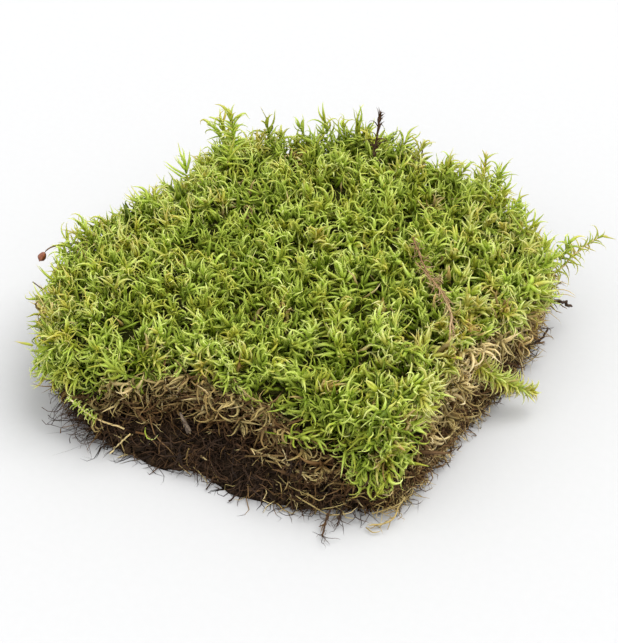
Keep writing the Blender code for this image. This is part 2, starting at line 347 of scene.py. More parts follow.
def wavy_routes(start, heading, length, wave, pattern, rng, drop=0.0):
    """The middle lines of loose fibres that set off along heading and wander from it."""
    t = pattern["levels"]
    count = len(start)
    bend, other = side_of(heading, rng), side_of(heading, rng)
    phase = rng.uniform(0, tau, (2, count, 1))
    turns = rng.uniform(0.5, 1.3, (2, count, 1)) * tau * t
    swing = wave[:, None] * t
    routes = start[:, None] + heading[:, None] * (length[:, None] * t)[..., None]
    routes = routes + bend[:, None] * (swing * (np.sin(turns[0] + phase[0]) - np.sin(phase[0])))[..., None]
    routes = routes + other[:, None] * (swing * (np.sin(turns[1] + phase[1]) - np.sin(phase[1])))[..., None]
    routes[..., 2] -= drop * length[:, None] * t**2
    along = unit(np.gradient(routes, axis=1))
    across = unit(np.cross(along, bend[:, None] + 0.001))
    return routes, across, np.cross(along, across)


# ---------------------------------------------------------------- where things grow


def triangles_of(node):
    """A solid's triangles as corners, with each one's area and normal."""
    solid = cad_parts[node]
    solid.data.calc_loop_triangles()
    corners = points_of(solid)[np.array([tri.vertices[:] for tri in solid.data.loop_triangles])]
    cross = np.cross(corners[:, 1] - corners[:, 0], corners[:, 2] - corners[:, 0])
    area = np.linalg.norm(cross, axis=1) / 2
    keep = area > 1e-12
    return corners[keep], area[keep], unit(cross[keep])


def scatter(node, count, rng, lowest=-1.0, highest=1.0):
    """Random spots on a solid's faces whose normals rise between the two limits, with their normals."""
    corners, area, normals = triangles_of(node)
    area = area * ((normals[:, 2] >= lowest) & (normals[:, 2] <= highest))
    picked = rng.choice(len(area), count, p=area / area.sum())
    a, b = rng.random((2, count, 1))
    flip = a + b > 1
    a, b = np.where(flip, 1 - a, a), np.where(flip, 1 - b, b)
    tri = corners[picked]
    return tri[:, 0] + a * (tri[:, 1] - tri[:, 0]) + b * (tri[:, 2] - tri[:, 0]), normals[picked]


def spaced(spots, gap):
    """Picks spots in order, leaving out any nearer than gap to one already picked."""
    picked = np.empty((len(spots), 3))
    chosen = []
    for i, spot in enumerate(spots):
        near = picked[: len(chosen)] - spot
        if not len(chosen) or (near * near).sum(1).min() > gap[i] ** 2:
            picked[len(chosen)] = spot
            chosen.append(i)
    return np.array(chosen)


def patches(spots, size, seed):
    """A soft unevenness over the clump between about 0 and 1."""
    x, y, z = (spots / size * tau).T
    total = np.sin(x + 1.3 * seed) + np.sin(0.8 * y - 0.7 * x + 2.1 * seed) + np.sin(1.3 * y + z + seed)
    return 0.5 + total / 6


def outline_share(spots):
    """How near each spot is to the clump's outline, from 0 in the middle to 1 at the edge."""
    low, high = (np.array(corner)[:2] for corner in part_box("green_cushion"))
    return np.linalg.norm((spots[:, :2] - (high + low) / 2) / ((high - low) / 2), axis=1)


def outwards(spots):
    """Level directions away from the middle of the clump."""
    return unit((spots - np.array(MIDDLE)) * (1, 1, 0))


def moved(spots, heading, low, high, rng):
    """Each spot, moved along its heading by a random number of millimetres from low to high."""
    return spots + heading * (rng.uniform(low, high, len(spots)) * MM)[:, None]


def along_wall(normals, rng):
    """Level directions along a wall, at random one way or the other."""
    return np.cross(normals, UP) * rng.choice((-1, 1), (len(normals), 1))


# ---------------------------------------------------------------- materials


def node_material(name, roughness, **fixed):
    """A new material, with the numbers that are the same all over set on the shader itself."""
    material = bpy.data.materials.new(name)
    material.use_nodes = True
    tree = material.node_tree
    shader = tree.nodes["Principled BSDF"]
    shader.inputs["Roughness"].default_value = roughness
    for socket, value in fixed.items():
        shader.inputs[socket.replace("_", " ")].default_value = value
    return material, tree, shader


def add_node(tree, kind, inputs=None, **settings):
    node = tree.nodes.new(kind)
    for key, value in settings.items():
        setattr(node, key, value)
    for key, value in (inputs or {}).items():
        if isinstance(value, bpy.types.NodeSocket):
            tree.links.new(value, node.inputs[key])
        else:
            node.inputs[key].default_value = value
    return node


def ramp(tree, factor, stops):
    """A colour ramp through (place, colour) stops."""
    node = add_node(tree, "ShaderNodeValToRGB", {"Fac": factor})
    elements = node.color_ramp.elements
    while len(elements) < len(stops):
        elements.new(0.5)
    for element, (place, colour) in zip(elements, stops):
        element.position = place
        element.color = (*colour, 1)
    return node.outputs["Color"]


def noise(tree, place, scale, detail, roughness=0.5):
    settings = {"Vector": place, "Scale": scale, "Detail": detail, "Roughness": roughness}
    return add_node(tree, "ShaderNodeTexNoise", settings).outputs["Fac"]


def add_bump(tree, shader, strength, distance, height):
    bump = add_node(tree, "ShaderNodeBump", {"Strength": strength, "Distance": distance, "Height": height})
    tree.links.new(bump.outputs["Normal"], shader.inputs["Normal"])


def mix(tree, factor, low, high, blend="MIX"):
    node = add_node(tree, "ShaderNodeMix", data_type="RGBA", blend_type=blend)
    for socket, value in zip((node.inputs[0], node.inputs[6], node.inputs[7]), (factor, low, high)):
        if isinstance(value, bpy.types.NodeSocket):
            tree.links.new(value, socket)
        elif isinstance(value, (int, float)):
            socket.default_value = value
        else:
            socket.default_value = (*value, 1)
    return node.outputs[2]


def blade_material(name, base_stops, tip_stops, roughness, glow, tint):
    """Leaves and fibres. Their colour comes from V of their own map, dark at its low end as painted shade for
    deep leaves, and pales or dries out along U.

    Here and there they take on the tint.
    """
    material, tree, shader = node_material(name, roughness, Specular_IOR_Level=0.28)
    place = add_node(tree, "ShaderNodeUVMap", uv_map=SHADE_MAP)
    parts = add_node(tree, "ShaderNodeSeparateXYZ", {0: place.outputs[0]})
    base = ramp(tree, parts.outputs["Y"], base_stops)
    tip = ramp(tree, parts.outputs["Y"], tip_stops)
    reach = {"Value": parts.outputs["X"], "From Min": 0.25, "From Max": 1.0}
    towards = add_node(tree, "ShaderNodeMapRange", reach, interpolation_type="SMOOTHSTEP")
    colour = mix(tree, towards.outputs[0], base, tip)
    where = add_node(tree, "ShaderNodeTexCoord").outputs["Object"]
    amount = ramp(tree, noise(tree, where, 150.0, 3.0), [(0.48, (0, 0, 0)), (0.68, (1, 1, 1))])
    colour = mix(tree, amount, colour, mix(tree, 1.0, colour, tint, "MULTIPLY"))
    tree.links.new(colour, shader.inputs["Base Color"])
    add_bump(tree, shader, 0.25, 0.12 * MM, noise(tree, where, 2600.0, 2.0))
    if glow:
        through = add_node(tree, "ShaderNodeBsdfTranslucent", {"Color": colour})
        both = add_node(tree, "ShaderNodeMixShader", {0: glow, 1: shader.outputs[0], 2: through.outputs[0]})
        tree.links.new(both.outputs[0], tree.nodes["Material Output"].inputs["Surface"])
    return material


def earth_material(name, stops, grain_scale, bump_distance, drier=None):
    """Crumbly matter: blotches, grains and threads over each other, from the object's own coordinates.

    Drier, if given, is the stops that it has at the right.
    """
    material, tree, shader = node_material(name, 0.95, Specular_IOR_Level=0.12)
    place = add_node(tree, "ShaderNodeTexCoord").outputs["Object"]
    blotch = noise(tree, place, 90.0, 6.0, 0.7)
    grains = noise(tree, place, grain_scale, 5.0, 0.75)
    net = {"Vector": place, "Scale": grain_scale * 0.8}
    threads = add_node(tree, "ShaderNodeTexVoronoi", net, feature="DISTANCE_TO_EDGE")
    both = add_node(tree, "ShaderNodeMath", {0: blotch, 1: grains}, operation="ADD")
    half = add_node(tree, "ShaderNodeMath", {0: both.outputs[0], 1: 0.5}, operation="MULTIPLY")
    colour = ramp(tree, half.outputs[0], stops)
    if drier:
        parts = add_node(tree, "ShaderNodeSeparateXYZ", {0: place})
        reach = {"Value": parts.outputs["X"], "From Min": 47 * MM, "From Max": 58 * MM}
        right = add_node(tree, "ShaderNodeMapRange", reach)
        colour = mix(tree, right.outputs[0], colour, ramp(tree, half.outputs[0], drier))
    tree.links.new(colour, shader.inputs["Base Color"])
    gaps = threads.outputs["Distance"]
    height = add_node(tree, "ShaderNodeMath", {0: grains, 1: gaps}, operation="SUBTRACT")
    add_bump(tree, shader, 0.9, bump_distance, height.outputs[0])
    return material


def shaded(colour, factor):
    return tuple(min(channel * factor, 1.0) for channel in colour)


def living_stops(colours):
    """From a leaf deep in the cushion, dark with painted shade, over one in full light, to a dry one."""
    leaf, tip, straw = tuple(colours.leaf), tuple(colours.leaf_tip), tuple(colours.straw)
    base = [
        (0.0, (0.05, 0.09, 0.006)), (0.25, (0.19, 0.28, 0.014)), (0.5, shaded(leaf, 0.78)),
        (0.72, leaf), (0.84, (0.60, 0.60, 0.11)), (0.9, (0.66, 0.55, 0.19)),
        (0.96, shaded(straw, 0.8)), (1.0, (0.20, 0.135, 0.04)),
    ]
    ends = [
        (0.0, (0.09, 0.15, 0.012)), (0.25, (0.36, 0.47, 0.04)), (0.5, (0.68, 0.76, 0.15)),
        (0.72, tip), (0.84, (0.80, 0.80, 0.38)), (0.9, (0.92, 0.82, 0.46)),
        (0.96, shaded(straw, 1.2)), (1.0, (0.28, 0.18, 0.08)),
    ]
    return base, ends


def dead_stops(colours):
    """From a leaf dark with rot and with painted shade deep in the thatch to a clean dry one."""
    straw = tuple(colours.straw)
    base = [
        (0.0, (0.014, 0.007, 0.0035)), (0.25, (0.066, 0.0315, 0.0125)),
        (0.5, (0.195, 0.106, 0.037)), (0.75, shaded(straw, 0.85)), (0.92, (0.76, 0.6, 0.28)),
        (1.0, (0.86, 0.72, 0.39)),
    ]
    ends = [
        (0.0, (0.026, 0.0125, 0.006)), (0.25, (0.11, 0.055, 0.021)), (0.5, (0.27, 0.162, 0.06)),
        (0.75, shaded(straw, 1.2)), (0.92, (0.88, 0.74, 0.42)), (1.0, (0.95, 0.84, 0.55)),
    ]
    return base, ends


def rosy_stops():
    """A dry shoot with some of its red left, from its brown stem to its pale leaf tips."""
    base = [(0.0, (0.12, 0.055, 0.025)), (0.5, (0.32, 0.18, 0.08)), (1.0, (0.56, 0.38, 0.19))]
    ends = [(0.0, (0.20, 0.11, 0.05)), (0.5, (0.50, 0.34, 0.17)), (1.0, (0.78, 0.62, 0.38))]
    return base, ends


def grained_material(name, low, high, roughness):
    """Fine streaks between two colours."""
    material, tree, shader = node_material(name, roughness)
    place = add_node(tree, "ShaderNodeTexCoord").outputs["Object"]
    turned = add_node(tree, "ShaderNodeMapping", {"Vector": place, "Scale": (1400, 1400, 380)})
    streaks = noise(tree, turned.outputs[0], 1.0, 4.0)
    tree.links.new(ramp(tree, streaks, [(0.35, low), (0.65, high)]), shader.inputs["Base Color"])
    add_bump(tree, shader, 0.5, 0.2 * MM, streaks)
    return material


def make_materials():
    colours = bpy.context.scene.moss_colours
    soil = tuple(colours.soil)
    olive, russet, grey = (1.0, 0.84, 0.6), (0.93, 0.84, 0.7), (0.8, 0.8, 0.85)
    MATERIALS["living"] = blade_material("living_leaves", *living_stops(colours), 0.42, 0.42, olive)
    MATERIALS["dead"] = blade_material("dead_leaves", *dead_stops(colours), 0.7, 0.25, russet)
    MATERIALS["fibre"] = blade_material("root_fibres", *dead_stops(colours), 0.7, 0.0, russet)
    MATERIALS["rosy"] = blade_material("rosy_straw", *rosy_stops(), 0.7, 0.2, grey)
    MATERIALS["wood"] = grained_material("weathered_wood", (0.03, 0.02, 0.013), (0.2, 0.145, 0.095), 0.8)
    MATERIALS["spore_case"] = grained_material("spore_case", (0.10, 0.025, 0.010), (0.30, 0.09, 0.03), 0.38)
    MATERIALS["soil"] = earth_material(
        "humus",
        [(0.3, shaded(soil, 0.35)), (0.5, soil), (0.62, (0.07, 0.042, 0.02)), (0.75, (0.13, 0.08, 0.038))],
        900.0,
        0.0006,
        [(0.3, (0.018, 0.0085, 0.004)), (0.5, (0.078, 0.04, 0.017)), (0.7, (0.2, 0.12, 0.053))],
    )
    MATERIALS["thatch"] = earth_material(
        "matted_thatch",
        [(0.3, (0.012, 0.006, 0.003)), (0.48, (0.05, 0.028, 0.011)), (0.65, (0.12, 0.075, 0.03))],
        1100.0,
        0.0005,
        [(0.3, (0.036, 0.018, 0.007)), (0.48, (0.17, 0.096, 0.038)), (0.65, (0.37, 0.25, 0.11))],
    )
    # the stems deep in the cushion: their own dark green, darkened to near black as painted shade
    MATERIALS["depth"] = earth_material(
        "shaded_stems",
        [(0.3, (0.012, 0.014, 0.002)), (0.5, (0.035, 0.038, 0.006)), (0.7, (0.08, 0.07, 0.014))],
        1300.0,
        0.0005,
    )


# ---------------------------------------------------------------- beds

# dark hollows in the torn sides, each with its radius, in millimetres
HOLLOWS = (
    (-5, -63, 14, 5.0), (-9, -66, 11.5, 4.0), (7, -60, 14.5, 5.0), (-20, -65, 19.5, 3.6),
    (-31, -68, 16, 4.0), (-17, -66, 15, 3.4), (-22, -69, 12, 4.2), (8, -60, 18, 3.6),
    (16, -62, 16, 3.6), (31, -65, 17, 3.6), (43, -67, 7, 4.0), (68, -2, 18, 4.0), (62, -36, 9, 4.0),
)


def hollow_share(spots):
    """How deep each spot lies in a hollow: 0 outside them, 1 in the middle of one."""
    hollows = np.array(HOLLOWS) * MM
    away = np.linalg.norm(spots[:, None] - hollows[:, :3], axis=2) / hollows[:, 3]
    return np.clip(1 - away, 0, 1).max(1)


def corner_share(spots):
    """How near each spot lies to the frayed left corner: 0 far from it, 1 at it."""
    return np.clip((-spots[:, 0] - spots[:, 1] - 98 * MM) / (16 * MM), 0, 1)


def torn_shift(spots, fray, foot):
    """From each spot of the plain solids to where the torn side lies.

    That is in at the hollows, on the right and, as far as fray, at the frayed corner, and out as far
    as foot along the foot of the side.
    """
    push = 7 * MM * hollow_share(spots) ** 0.6 + fray * corner_share(spots)
    x, y = spots[:, 0] / MM, spots[:, 1] / MM
    inward = 2.2 + 2.2 * np.exp(-(((y - 4) / 16) ** 2))
    push = push + inward * MM * np.clip((x - 40) / 12, 0, 1) * np.clip((46 - y) / 12, 0, 1)
    near = np.clip(1.6 - np.abs(spots[:, 0] / MM - 5) / 18, 0, 1) * (spots[:, 1] < -55 * MM)
    push = push - foot * near * np.clip(1.2 - spots[:, 2] / (8 * MM), 0, 1)
    return -unit(spots * (1, 1, 0)) * push[:, None]


def shape_bed(piece, level, fray, foot):
    """Gives a bed the shape of the torn sides, and levels its underside."""
    points = points_of(piece)
    points += torn_shift(points, fray, foot)
    points[:, 2] = np.maximum(points[:, 2], level)
    move_points(piece, points)


def solid_copy(name, node, material):
    """A copy of a solid under its own name, with its corners merged, left open in edit mode."""
    select_only(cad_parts[node])
    bpy.ops.object.duplicate()
    copy = bpy.context.object
    copy.name = copy.data.name = name
    copy.parent = None
    for key in list(copy.keys()):
        del copy[key]
    copy.data.materials.clear()
    copy.data.materials.append(material)
    bpy.ops.object.mode_set(mode="EDIT")
    bpy.ops.mesh.select_all(action="SELECT")
    bpy.ops.mesh.remove_doubles(threshold=MERGE)
    return copy


def bed(name, node, inset, voxel, roughen, material):
    """The dense inside of a layer: a copy of its solid, drawn in, remeshed and roughened."""
    copy = solid_copy(name, node, material)
    bpy.ops.object.mode_set(mode="OBJECT")
    remesh = copy.modifiers.new("remesh", "REMESH")
    remesh.mode = "VOXEL"
    remesh.voxel_size = voxel
    bpy.ops.object.modifier_apply(modifier=remesh.name)
    texture = bpy.data.textures.new(name + "_lumps", "CLOUDS")
    texture.noise_scale = 0.006
    texture.noise_depth = 3
    outside = copy.vertex_groups.new(name="outside")
    for vert in copy.data.vertices:
        share = min(max((vert.normal.z + 0.75) / 0.35, 0.0), 1.0)  # 0 on the flat underside
        outside.add([vert.index], share, "REPLACE")
    for label, strength, lumps in (("draw_in", -inset, None), ("roughen", roughen, texture)):
        push = copy.modifiers.new(label, "DISPLACE")
        push.strength = strength
        push.mid_level = 0.0 if lumps is None else 0.5
        push.texture = lumps
        push.texture_coords = "LOCAL"
        push.vertex_group = outside.name
        bpy.ops.object.modifier_apply(modifier=push.name)
    bpy.ops.object.shade_smooth()
    return copy


class MOSS_OT_beds(bpy.types.Operator):
    """Shape the dense soil, thatch and stems that the leaves and roots stand out of."""

    bl_idname = "moss.beds"
    bl_label = "Beds"

    def execute(self, context):
        specs = (
            # name, node, slot, finish, then inset, voxel, roughness, underside, fray and foot in millimetres
            ("soil_bed", "soil_mat", "soil", "soil", 2.4, 1.7, 4.6, 0, 7, 4.4),
            ("thatch_bed", "brown_thatch", "dead_moss", "thatch", 3.2, 1.9, 3.0, 1, 4, 0),
            ("stem_bed", "green_cushion", "living_moss", "depth", 10.5, 2.9, 3.0, 2, 0, 0),
        )
        for name, node, slot, finish, inset, voxel, roughen, level, fray, foot in specs:
            piece = bed(name, node, inset * MM, voxel * MM, roughen * MM, MATERIALS[finish])
            shape_bed(piece, level * MM, fray * MM, foot * MM)
            place_piece(piece, node)
        return {"FINISHED"}


# ---------------------------------------------------------------- living shoots

# tips of the single shoots that break the outline along the back and on the left, in millimetres
RIM_TIPS = (
    (-69, -27, 32), (-68, -20, 33), (-58, 26, 33), (-60, 48, 34), (-57, 50, 35), (-44, 58, 34),
    (-33, 61, 34), (-27, 68, 34), (-21, 70, 33), (-17, 73, 34), (3, 70, 34), (9, 69, 34), (21, 65, 34),
    (27, 63, 34), (37, 67, 33), (39, 64, 35), (43, 58, 34), (50, 52, 34), (58, 44, 33), (65, 38, 33),
    (69, 33, 32), (70, 45, 30),
)


def shoot_leaves(
    blades, stems, root, tip, leaf_size, shade, rng, leaves, start=0.35, limits=(0.04, 0.84), hook=1.0
):
    """Leaves in a spiral up each shoot. Root and tip are the ends of the shoots, one row a shoot.

    Leaf size is a full leaf's length and width, each one number or one a shoot. Shade, one number a
    shoot, stays between the limits. Hook makes the leaves curl more.
    """
    count = len(root)
    leaf_length, leaf_width = (np.repeat(np.broadcast_to(size, count), leaves) for size in leaf_size)
    length = np.linalg.norm(tip - root, axis=1)
    heading = unit(tip - root)
    bend = side_of(heading, rng) * (0.14 * length * rng.uniform(0.2, 1, count))[:, None]
    place = np.linspace(start, 1.0, leaves) ** 0.85
    place = np.broadcast_to(place, (count, leaves)) + rng.uniform(-0.015, 0.015, (count, leaves))
    arch = (4 * place * (1 - place))[..., None]
    base = root[:, None] + (tip - root)[:, None] * place[..., None] + bend[:, None] * arch
    axis = unit((tip - root)[:, None] + bend[:, None] * (4 - 8 * place)[..., None])
    turn = np.arange(leaves) * LEAF_TURN + rng.uniform(0, tau, (count, 1))
    turn = turn + rng.uniform(-0.35, 0.35, turn.shape)
    first = unit(np.cross(axis, unit(bend + 1e-6)[:, None] + 0.31 * heading[:, None][:, :, ::-1]))
    second = np.cross(axis, first)
    out = np.cos(turn)[..., None] * first + np.sin(turn)[..., None] * second
    share = np.clip((place - start) / (1 - start), 0, 1)
    flat = (count * leaves,)
    share = share.reshape(flat)
    splay = np.radians(72 - 46 * share**1.5) + rng.normal(0, 0.28, flat)
    curl = rng.choice((-1.0, 1.0), flat, p=(0.5, 0.5)) * rng.uniform(0.5, 2.9, flat) * hook
    sway, twist = rng.normal(0, 1.3 * hook, flat), rng.normal(0, 1.5, flat)
    nod = unit(rng.normal(size=(count, 3)) * (1, 1, 0.45)) * rng.uniform(0.0, 0.9, (count, 1))
    pull = np.repeat(nod, leaves, 0) + rng.normal(0, 0.65, (count * leaves, 3)) + 0.15 * UP
    size = leaf_length * rng.uniform(0.55, 1.15, flat) * (1 - 0.2 * share**3)
    width = leaf_width * rng.uniform(0.65, 1.2, flat) * (1 - 0.2 * share**3)
    base, axis, out = (vectors.reshape(-1, 3) for vectors in (base, axis, out))
    routes = bent_routes(base, axis, out, size, splay, curl, sway, twist, LEAF, pull)
    # leaves low on a shoot are darker: older, and in painted shade
    leaf_shade = np.repeat(shade, leaves) + 0.16 * (share - 0.75) + rng.normal(0, 0.055, flat)
    dry = np.repeat(shade, leaves) > 0.84
    leaf_shade = np.where(dry, np.clip(leaf_shade, 0.84, 0.98), np.clip(leaf_shade, *limits))
    blades.add(LEAF, *routes, width, width * 0.62, leaf_shade)
    if stems is None:
        return
    t = STEM["levels"]
    spine = root[:, None] + (tip - root)[:, None] * t[:, None] + bend[:, None] * (4 * t * (1 - t))[:, None]
    along = unit(np.gradient(spine, axis=1))
    across = unit(np.cross(along, unit(bend + 1e-6)[:, None] + 0.2))
    wide = np.full(count, 0.42 * MM)
    stems.add(STEM, spine, across, np.cross(along, across), wide, wide, shade - 0.25)


def short_routes(base, heading, length, low, high, bends, rng):
    """The middle lines of single short leaves, each from low to high times the length."""
    count = len(base)
    side = side_of(heading, rng)
    long = length * rng.uniform(low, high, count)
    return bent_routes(base, heading, side, long, rng.uniform(0.1, 0.8, count), *bends, SHORT)


# tips of the green shoots that hang over the front corner and over the left one
HANGING_TIPS = (
    (44, -61, 19), (48, -62, 16), (51, -63, 15), (54, -62, 12), (57, -61, 13), (50, -64, 13),
    (54, -63, 11), (-54, -67, 17), (-50, -69, 18), (-47, -69, 18), (-44, -70, 18), (-41, -70, 18.5),
    (-51, -68, 20), (-45, -70, 19), (-39, -70, 18), (-35, -69, 20),
)


def straw_share(spots, normals):
    """Where the right side has dried to straw: 1 there and 0 elsewhere."""
    along = (-58, -50, -38, -30, -24, -12, 0, 18, 30)
    top = (10, 17, 24, 26, 28, 31, 26.8, 19.3, 14.2)
    low = spots[:, 2] / MM < np.interp(spots[:, 1] / MM, along, top)
    return 1.0 * ((normals[:, 0] > 0.45) & (spots[:, 1] > -58 * MM) & low)


class MOSS_OT_living_shoots(bpy.types.Operator):
    """Grow the living shoots over the top and the sides of the cushion."""

    bl_idname = "moss.living_shoots"
    bl_label = "Living shoots"

    def execute(self, context):
        sizes = context.scene.moss_sizes
        rng = np.random.default_rng(11)
        spots, normals = scatter("green_cushion", 9000, rng, lowest=-0.7)
        gap = sizes.shoot_gap * (0.85 + 0.4 * patches(spots, 0.03, 3.0))
        chosen = spaced(spots, gap)
        spots, normals = spots[chosen], normals[chosen]
        count = len(spots)
        rise = 0.75 * np.clip(normals[:, 2:], 0, 1) - 0.15
        lean = unit(normals + UP * rise + rng.normal(0, 0.45, (count, 3)))
        inner = ((lean * outwards(spots)).sum(1) < -0.1) & (normals[:, 2] < 0.4)
        lean[inner] *= (-1, -1, 1)  # a shoot on an inner wall still grows outwards
        hollow = np.clip(patches(spots, 0.016, 7.0) - 0.6, 0, 1) * 11 + 2.5 * patches(spots, 0.037, 5.0)
        sunk = (rng.uniform(-0.6, 4.2, count) + hollow) * MM
        draw = np.where(spots[:, 1] < -24 * MM, 5 * MM, 3 * MM) * straw_share(spots, normals)
        draw = np.where((spots[:, 2] < 0.017) & (normals[:, 0] > 0.25), 9 * MM, draw)
        tip = spots - lean * sunk[:, None] - normals * draw[:, None]
        x, y, z = tip.T / MM
        tip[((x > 59.5) & (y < -20) & (z < 23)) | ((x > 68) & (z < 19)), 0] -= 9 * MM
        length = sizes.shoot_length * rng.uniform(0.8, 1.15, count)
        down = unit(lean * 0.75 + UP * 0.35)
        root = tip - down * length[:, None]
        root[:, 2] = np.maximum(root[:, 2], 2 * MM)
        shade = 0.56 + 0.24 * (patches(spots, 0.045, 1.0) - 0.5) + rng.normal(0, 0.08, count)
        # a shoot sunk deeper takes a darker colour: painted shade
        shade = shade - 0.045 * (sunk / MM - 3)
        seam = (spots[:, 2] < 0.021) & (normals[:, 2] < 0.3)
        tongue = (spots[:, 1] < -0.045) & (spots[:, 0] > 0.028)
        chance = 0.015 + 0.05 * (outline_share(spots) > 0.82) + 0.4 * seam + 0.14 * tongue
        dry = rng.random(count) < chance + 0.9 * straw_share(spots, normals)
        pale = 0.21 * np.clip((spots[:, 0] - 0.03) / 0.03, 0, 1)  # it pales towards both sides
        pale = pale + 0.19 * np.clip((-spots[:, 0] - 0.03) / 0.03, 0, 1)
        pale = pale - 0.13 * tongue
        shade = np.where(dry, rng.uniform(0.86, 0.94, count), np.clip(shade + pale, 0.2, 0.82))
        width = sizes.leaf_width * np.clip(0.92 + spots[:, 0] / 0.35, 0.74, 1.05)
        order = np.argsort(np.arctan2(spots[:, 1], spots[:, 0]))
        stems = Blades()
        for part, rows in zip("abcd", np.array_split(order, 4)):
            blades = Blades()
            size = sizes.leaf_length, width[rows]
            shoot_leaves(blades, stems, root[rows], tip[rows], size, shade[rows], rng, sizes.leaves, hook=1.3)
            blades.place("living_leaves_" + part, "living", "living_moss", "green_cushion")
        stems.place("living_stems", "living", "living_moss", "green_cushion")

        spots, normals = scatter("green_cushion", 1500, rng, 0.25, 0.85)
        chosen = spaced(spots, np.full(len(spots), 0.0075))
        rim = outline_share(spots[chosen]) > 0.85
        rim &= (normals[chosen, 1] > -0.35) & (normals[chosen, 0] < 0.3)
        spots, normals = spots[chosen][rim], normals[chosen][rim]
        tip = moved(spots, unit(normals + UP * 0.4), -1.2, 2.0, rng)
        tip = np.vstack([tip, np.array(RIM_TIPS) * MM])
        count = len(tip)
        root = tip - unit(outwards(tip) * 0.55 + UP + rng.normal(0, 0.25, (count, 3))) * sizes.shoot_length
        blades = Blades()
        tips = rng.normal(0.62, 0.08, count)
        leaf_size = sizes.leaf_length, sizes.leaf_width * 0.78
        shoot_leaves(blades, None, root, tip, leaf_size, tips, rng, 15, 0.4)
        spots, normals = scatter("green_cushion", 2400, rng, -0.75, 0.25)
        low = np.where(normals[:, 1] < -0.3, 0.026, 0.021)
        seam = (spots[:, 2] < low) | ((spots[:, 0] < -0.045) & (normals[:, 2] < 0.1))
        seam &= straw_share(spots, normals) < 0.5
        spots, normals = spots[seam], normals[seam]
        chosen = spaced(spots, np.full(len(spots), 0.0062))
        spots, normals = spots[chosen], normals[chosen]
        count = len(spots)
        lean = unit(normals * (1, 1, 0.3) - UP * 0.35 + rng.normal(0, 0.35, (count, 3)))
        hanging = np.array(HANGING_TIPS) * MM
        tip = np.vstack([moved(spots, lean, -2.5, 0.8, rng), hanging])
        lean = np.vstack([lean, outwards(hanging) * 0.5 - UP * 0.8])
        tips = rng.normal(0.48, 0.13, count) + 0.16 * (spots[:, 0] < -0.045)
        tips = np.concatenate([tips, rng.normal(0.66, 0.07, len(hanging)) - 0.08 * (hanging[:, 0] > 0)])
        shoot_leaves(blades, None, tip - lean * 9 * MM, tip, leaf_size, tips, rng, 9, 0.4, hook=1.4)
        blades.place("rim_leaves", "living", "living_moss", "green_cushion")

        spots, normals = scatter("green_cushion", 3300, rng, lowest=-0.85)
        count = len(spots)
        deep = rng.uniform(4.0, 9.0, count) * np.clip(normals[:, 2] + 1.0, 0.35, 1.0)
        heading = unit(normals + rng.normal(0, 0.8, (count, 3)))
        bends = [rng.normal(0, spread, count) for spread in (0.8, 1.2, 1.0)]
        base = spots - normals * (deep * MM)[:, None]
        routes = short_routes(base, heading, sizes.leaf_length, 0.6, 1.0, bends, rng)
        width = sizes.leaf_width * rng.uniform(0.7, 1.1, count)
        blades = Blades()
        brown = rng.random(count) < 0.035 + 0.8 * straw_share(spots, normals)
        straw = rng.uniform(0.9, 0.97, count)
        # the deeper a leaf lies, the darker its colour: painted shade
        shade = np.where(brown, straw, 0.5 - 0.035 * deep + rng.normal(0, 0.07, count))
        blades.add(SHORT, *routes, width, width * 0.5, shade)
        blades.place("inner_leaves", "living", "living_moss", "green_cushion")
        return {"FINISHED"}


# ---------------------------------------------------------------- dead thatch


# middles of the large dead shoots that face out of the torn sides, in millimetres
DEAD_TIPS = (
    (18, -59, 22), (25, -61, 19), (-1, -59, 21), (-14, -62, 21), (-22, -66, 20), (-28, -68, 20),
    (-9, -59, 23), (7, -58, 20), (32, -63, 16), (39, -65, 13), (11, -61, 16), (63, -24, 22),
    (64, -9, 24), (67, -1, 22), (69, 9, 15), (69, 15, 21), (60, -40, 13), (62, -30, 13),
)


def thatch_spots(count, rng):
    """Random spots on the sides of the thatch outside the hollows, moved to where the torn side lies."""
    spots, normals = scatter("brown_thatch", count, rng, -0.8, 0.8)
    clear = hollow_share(spots) < CLEAR
    return spots[clear] + torn_shift(spots[clear], THATCH_FRAY, 0.0), normals[clear]


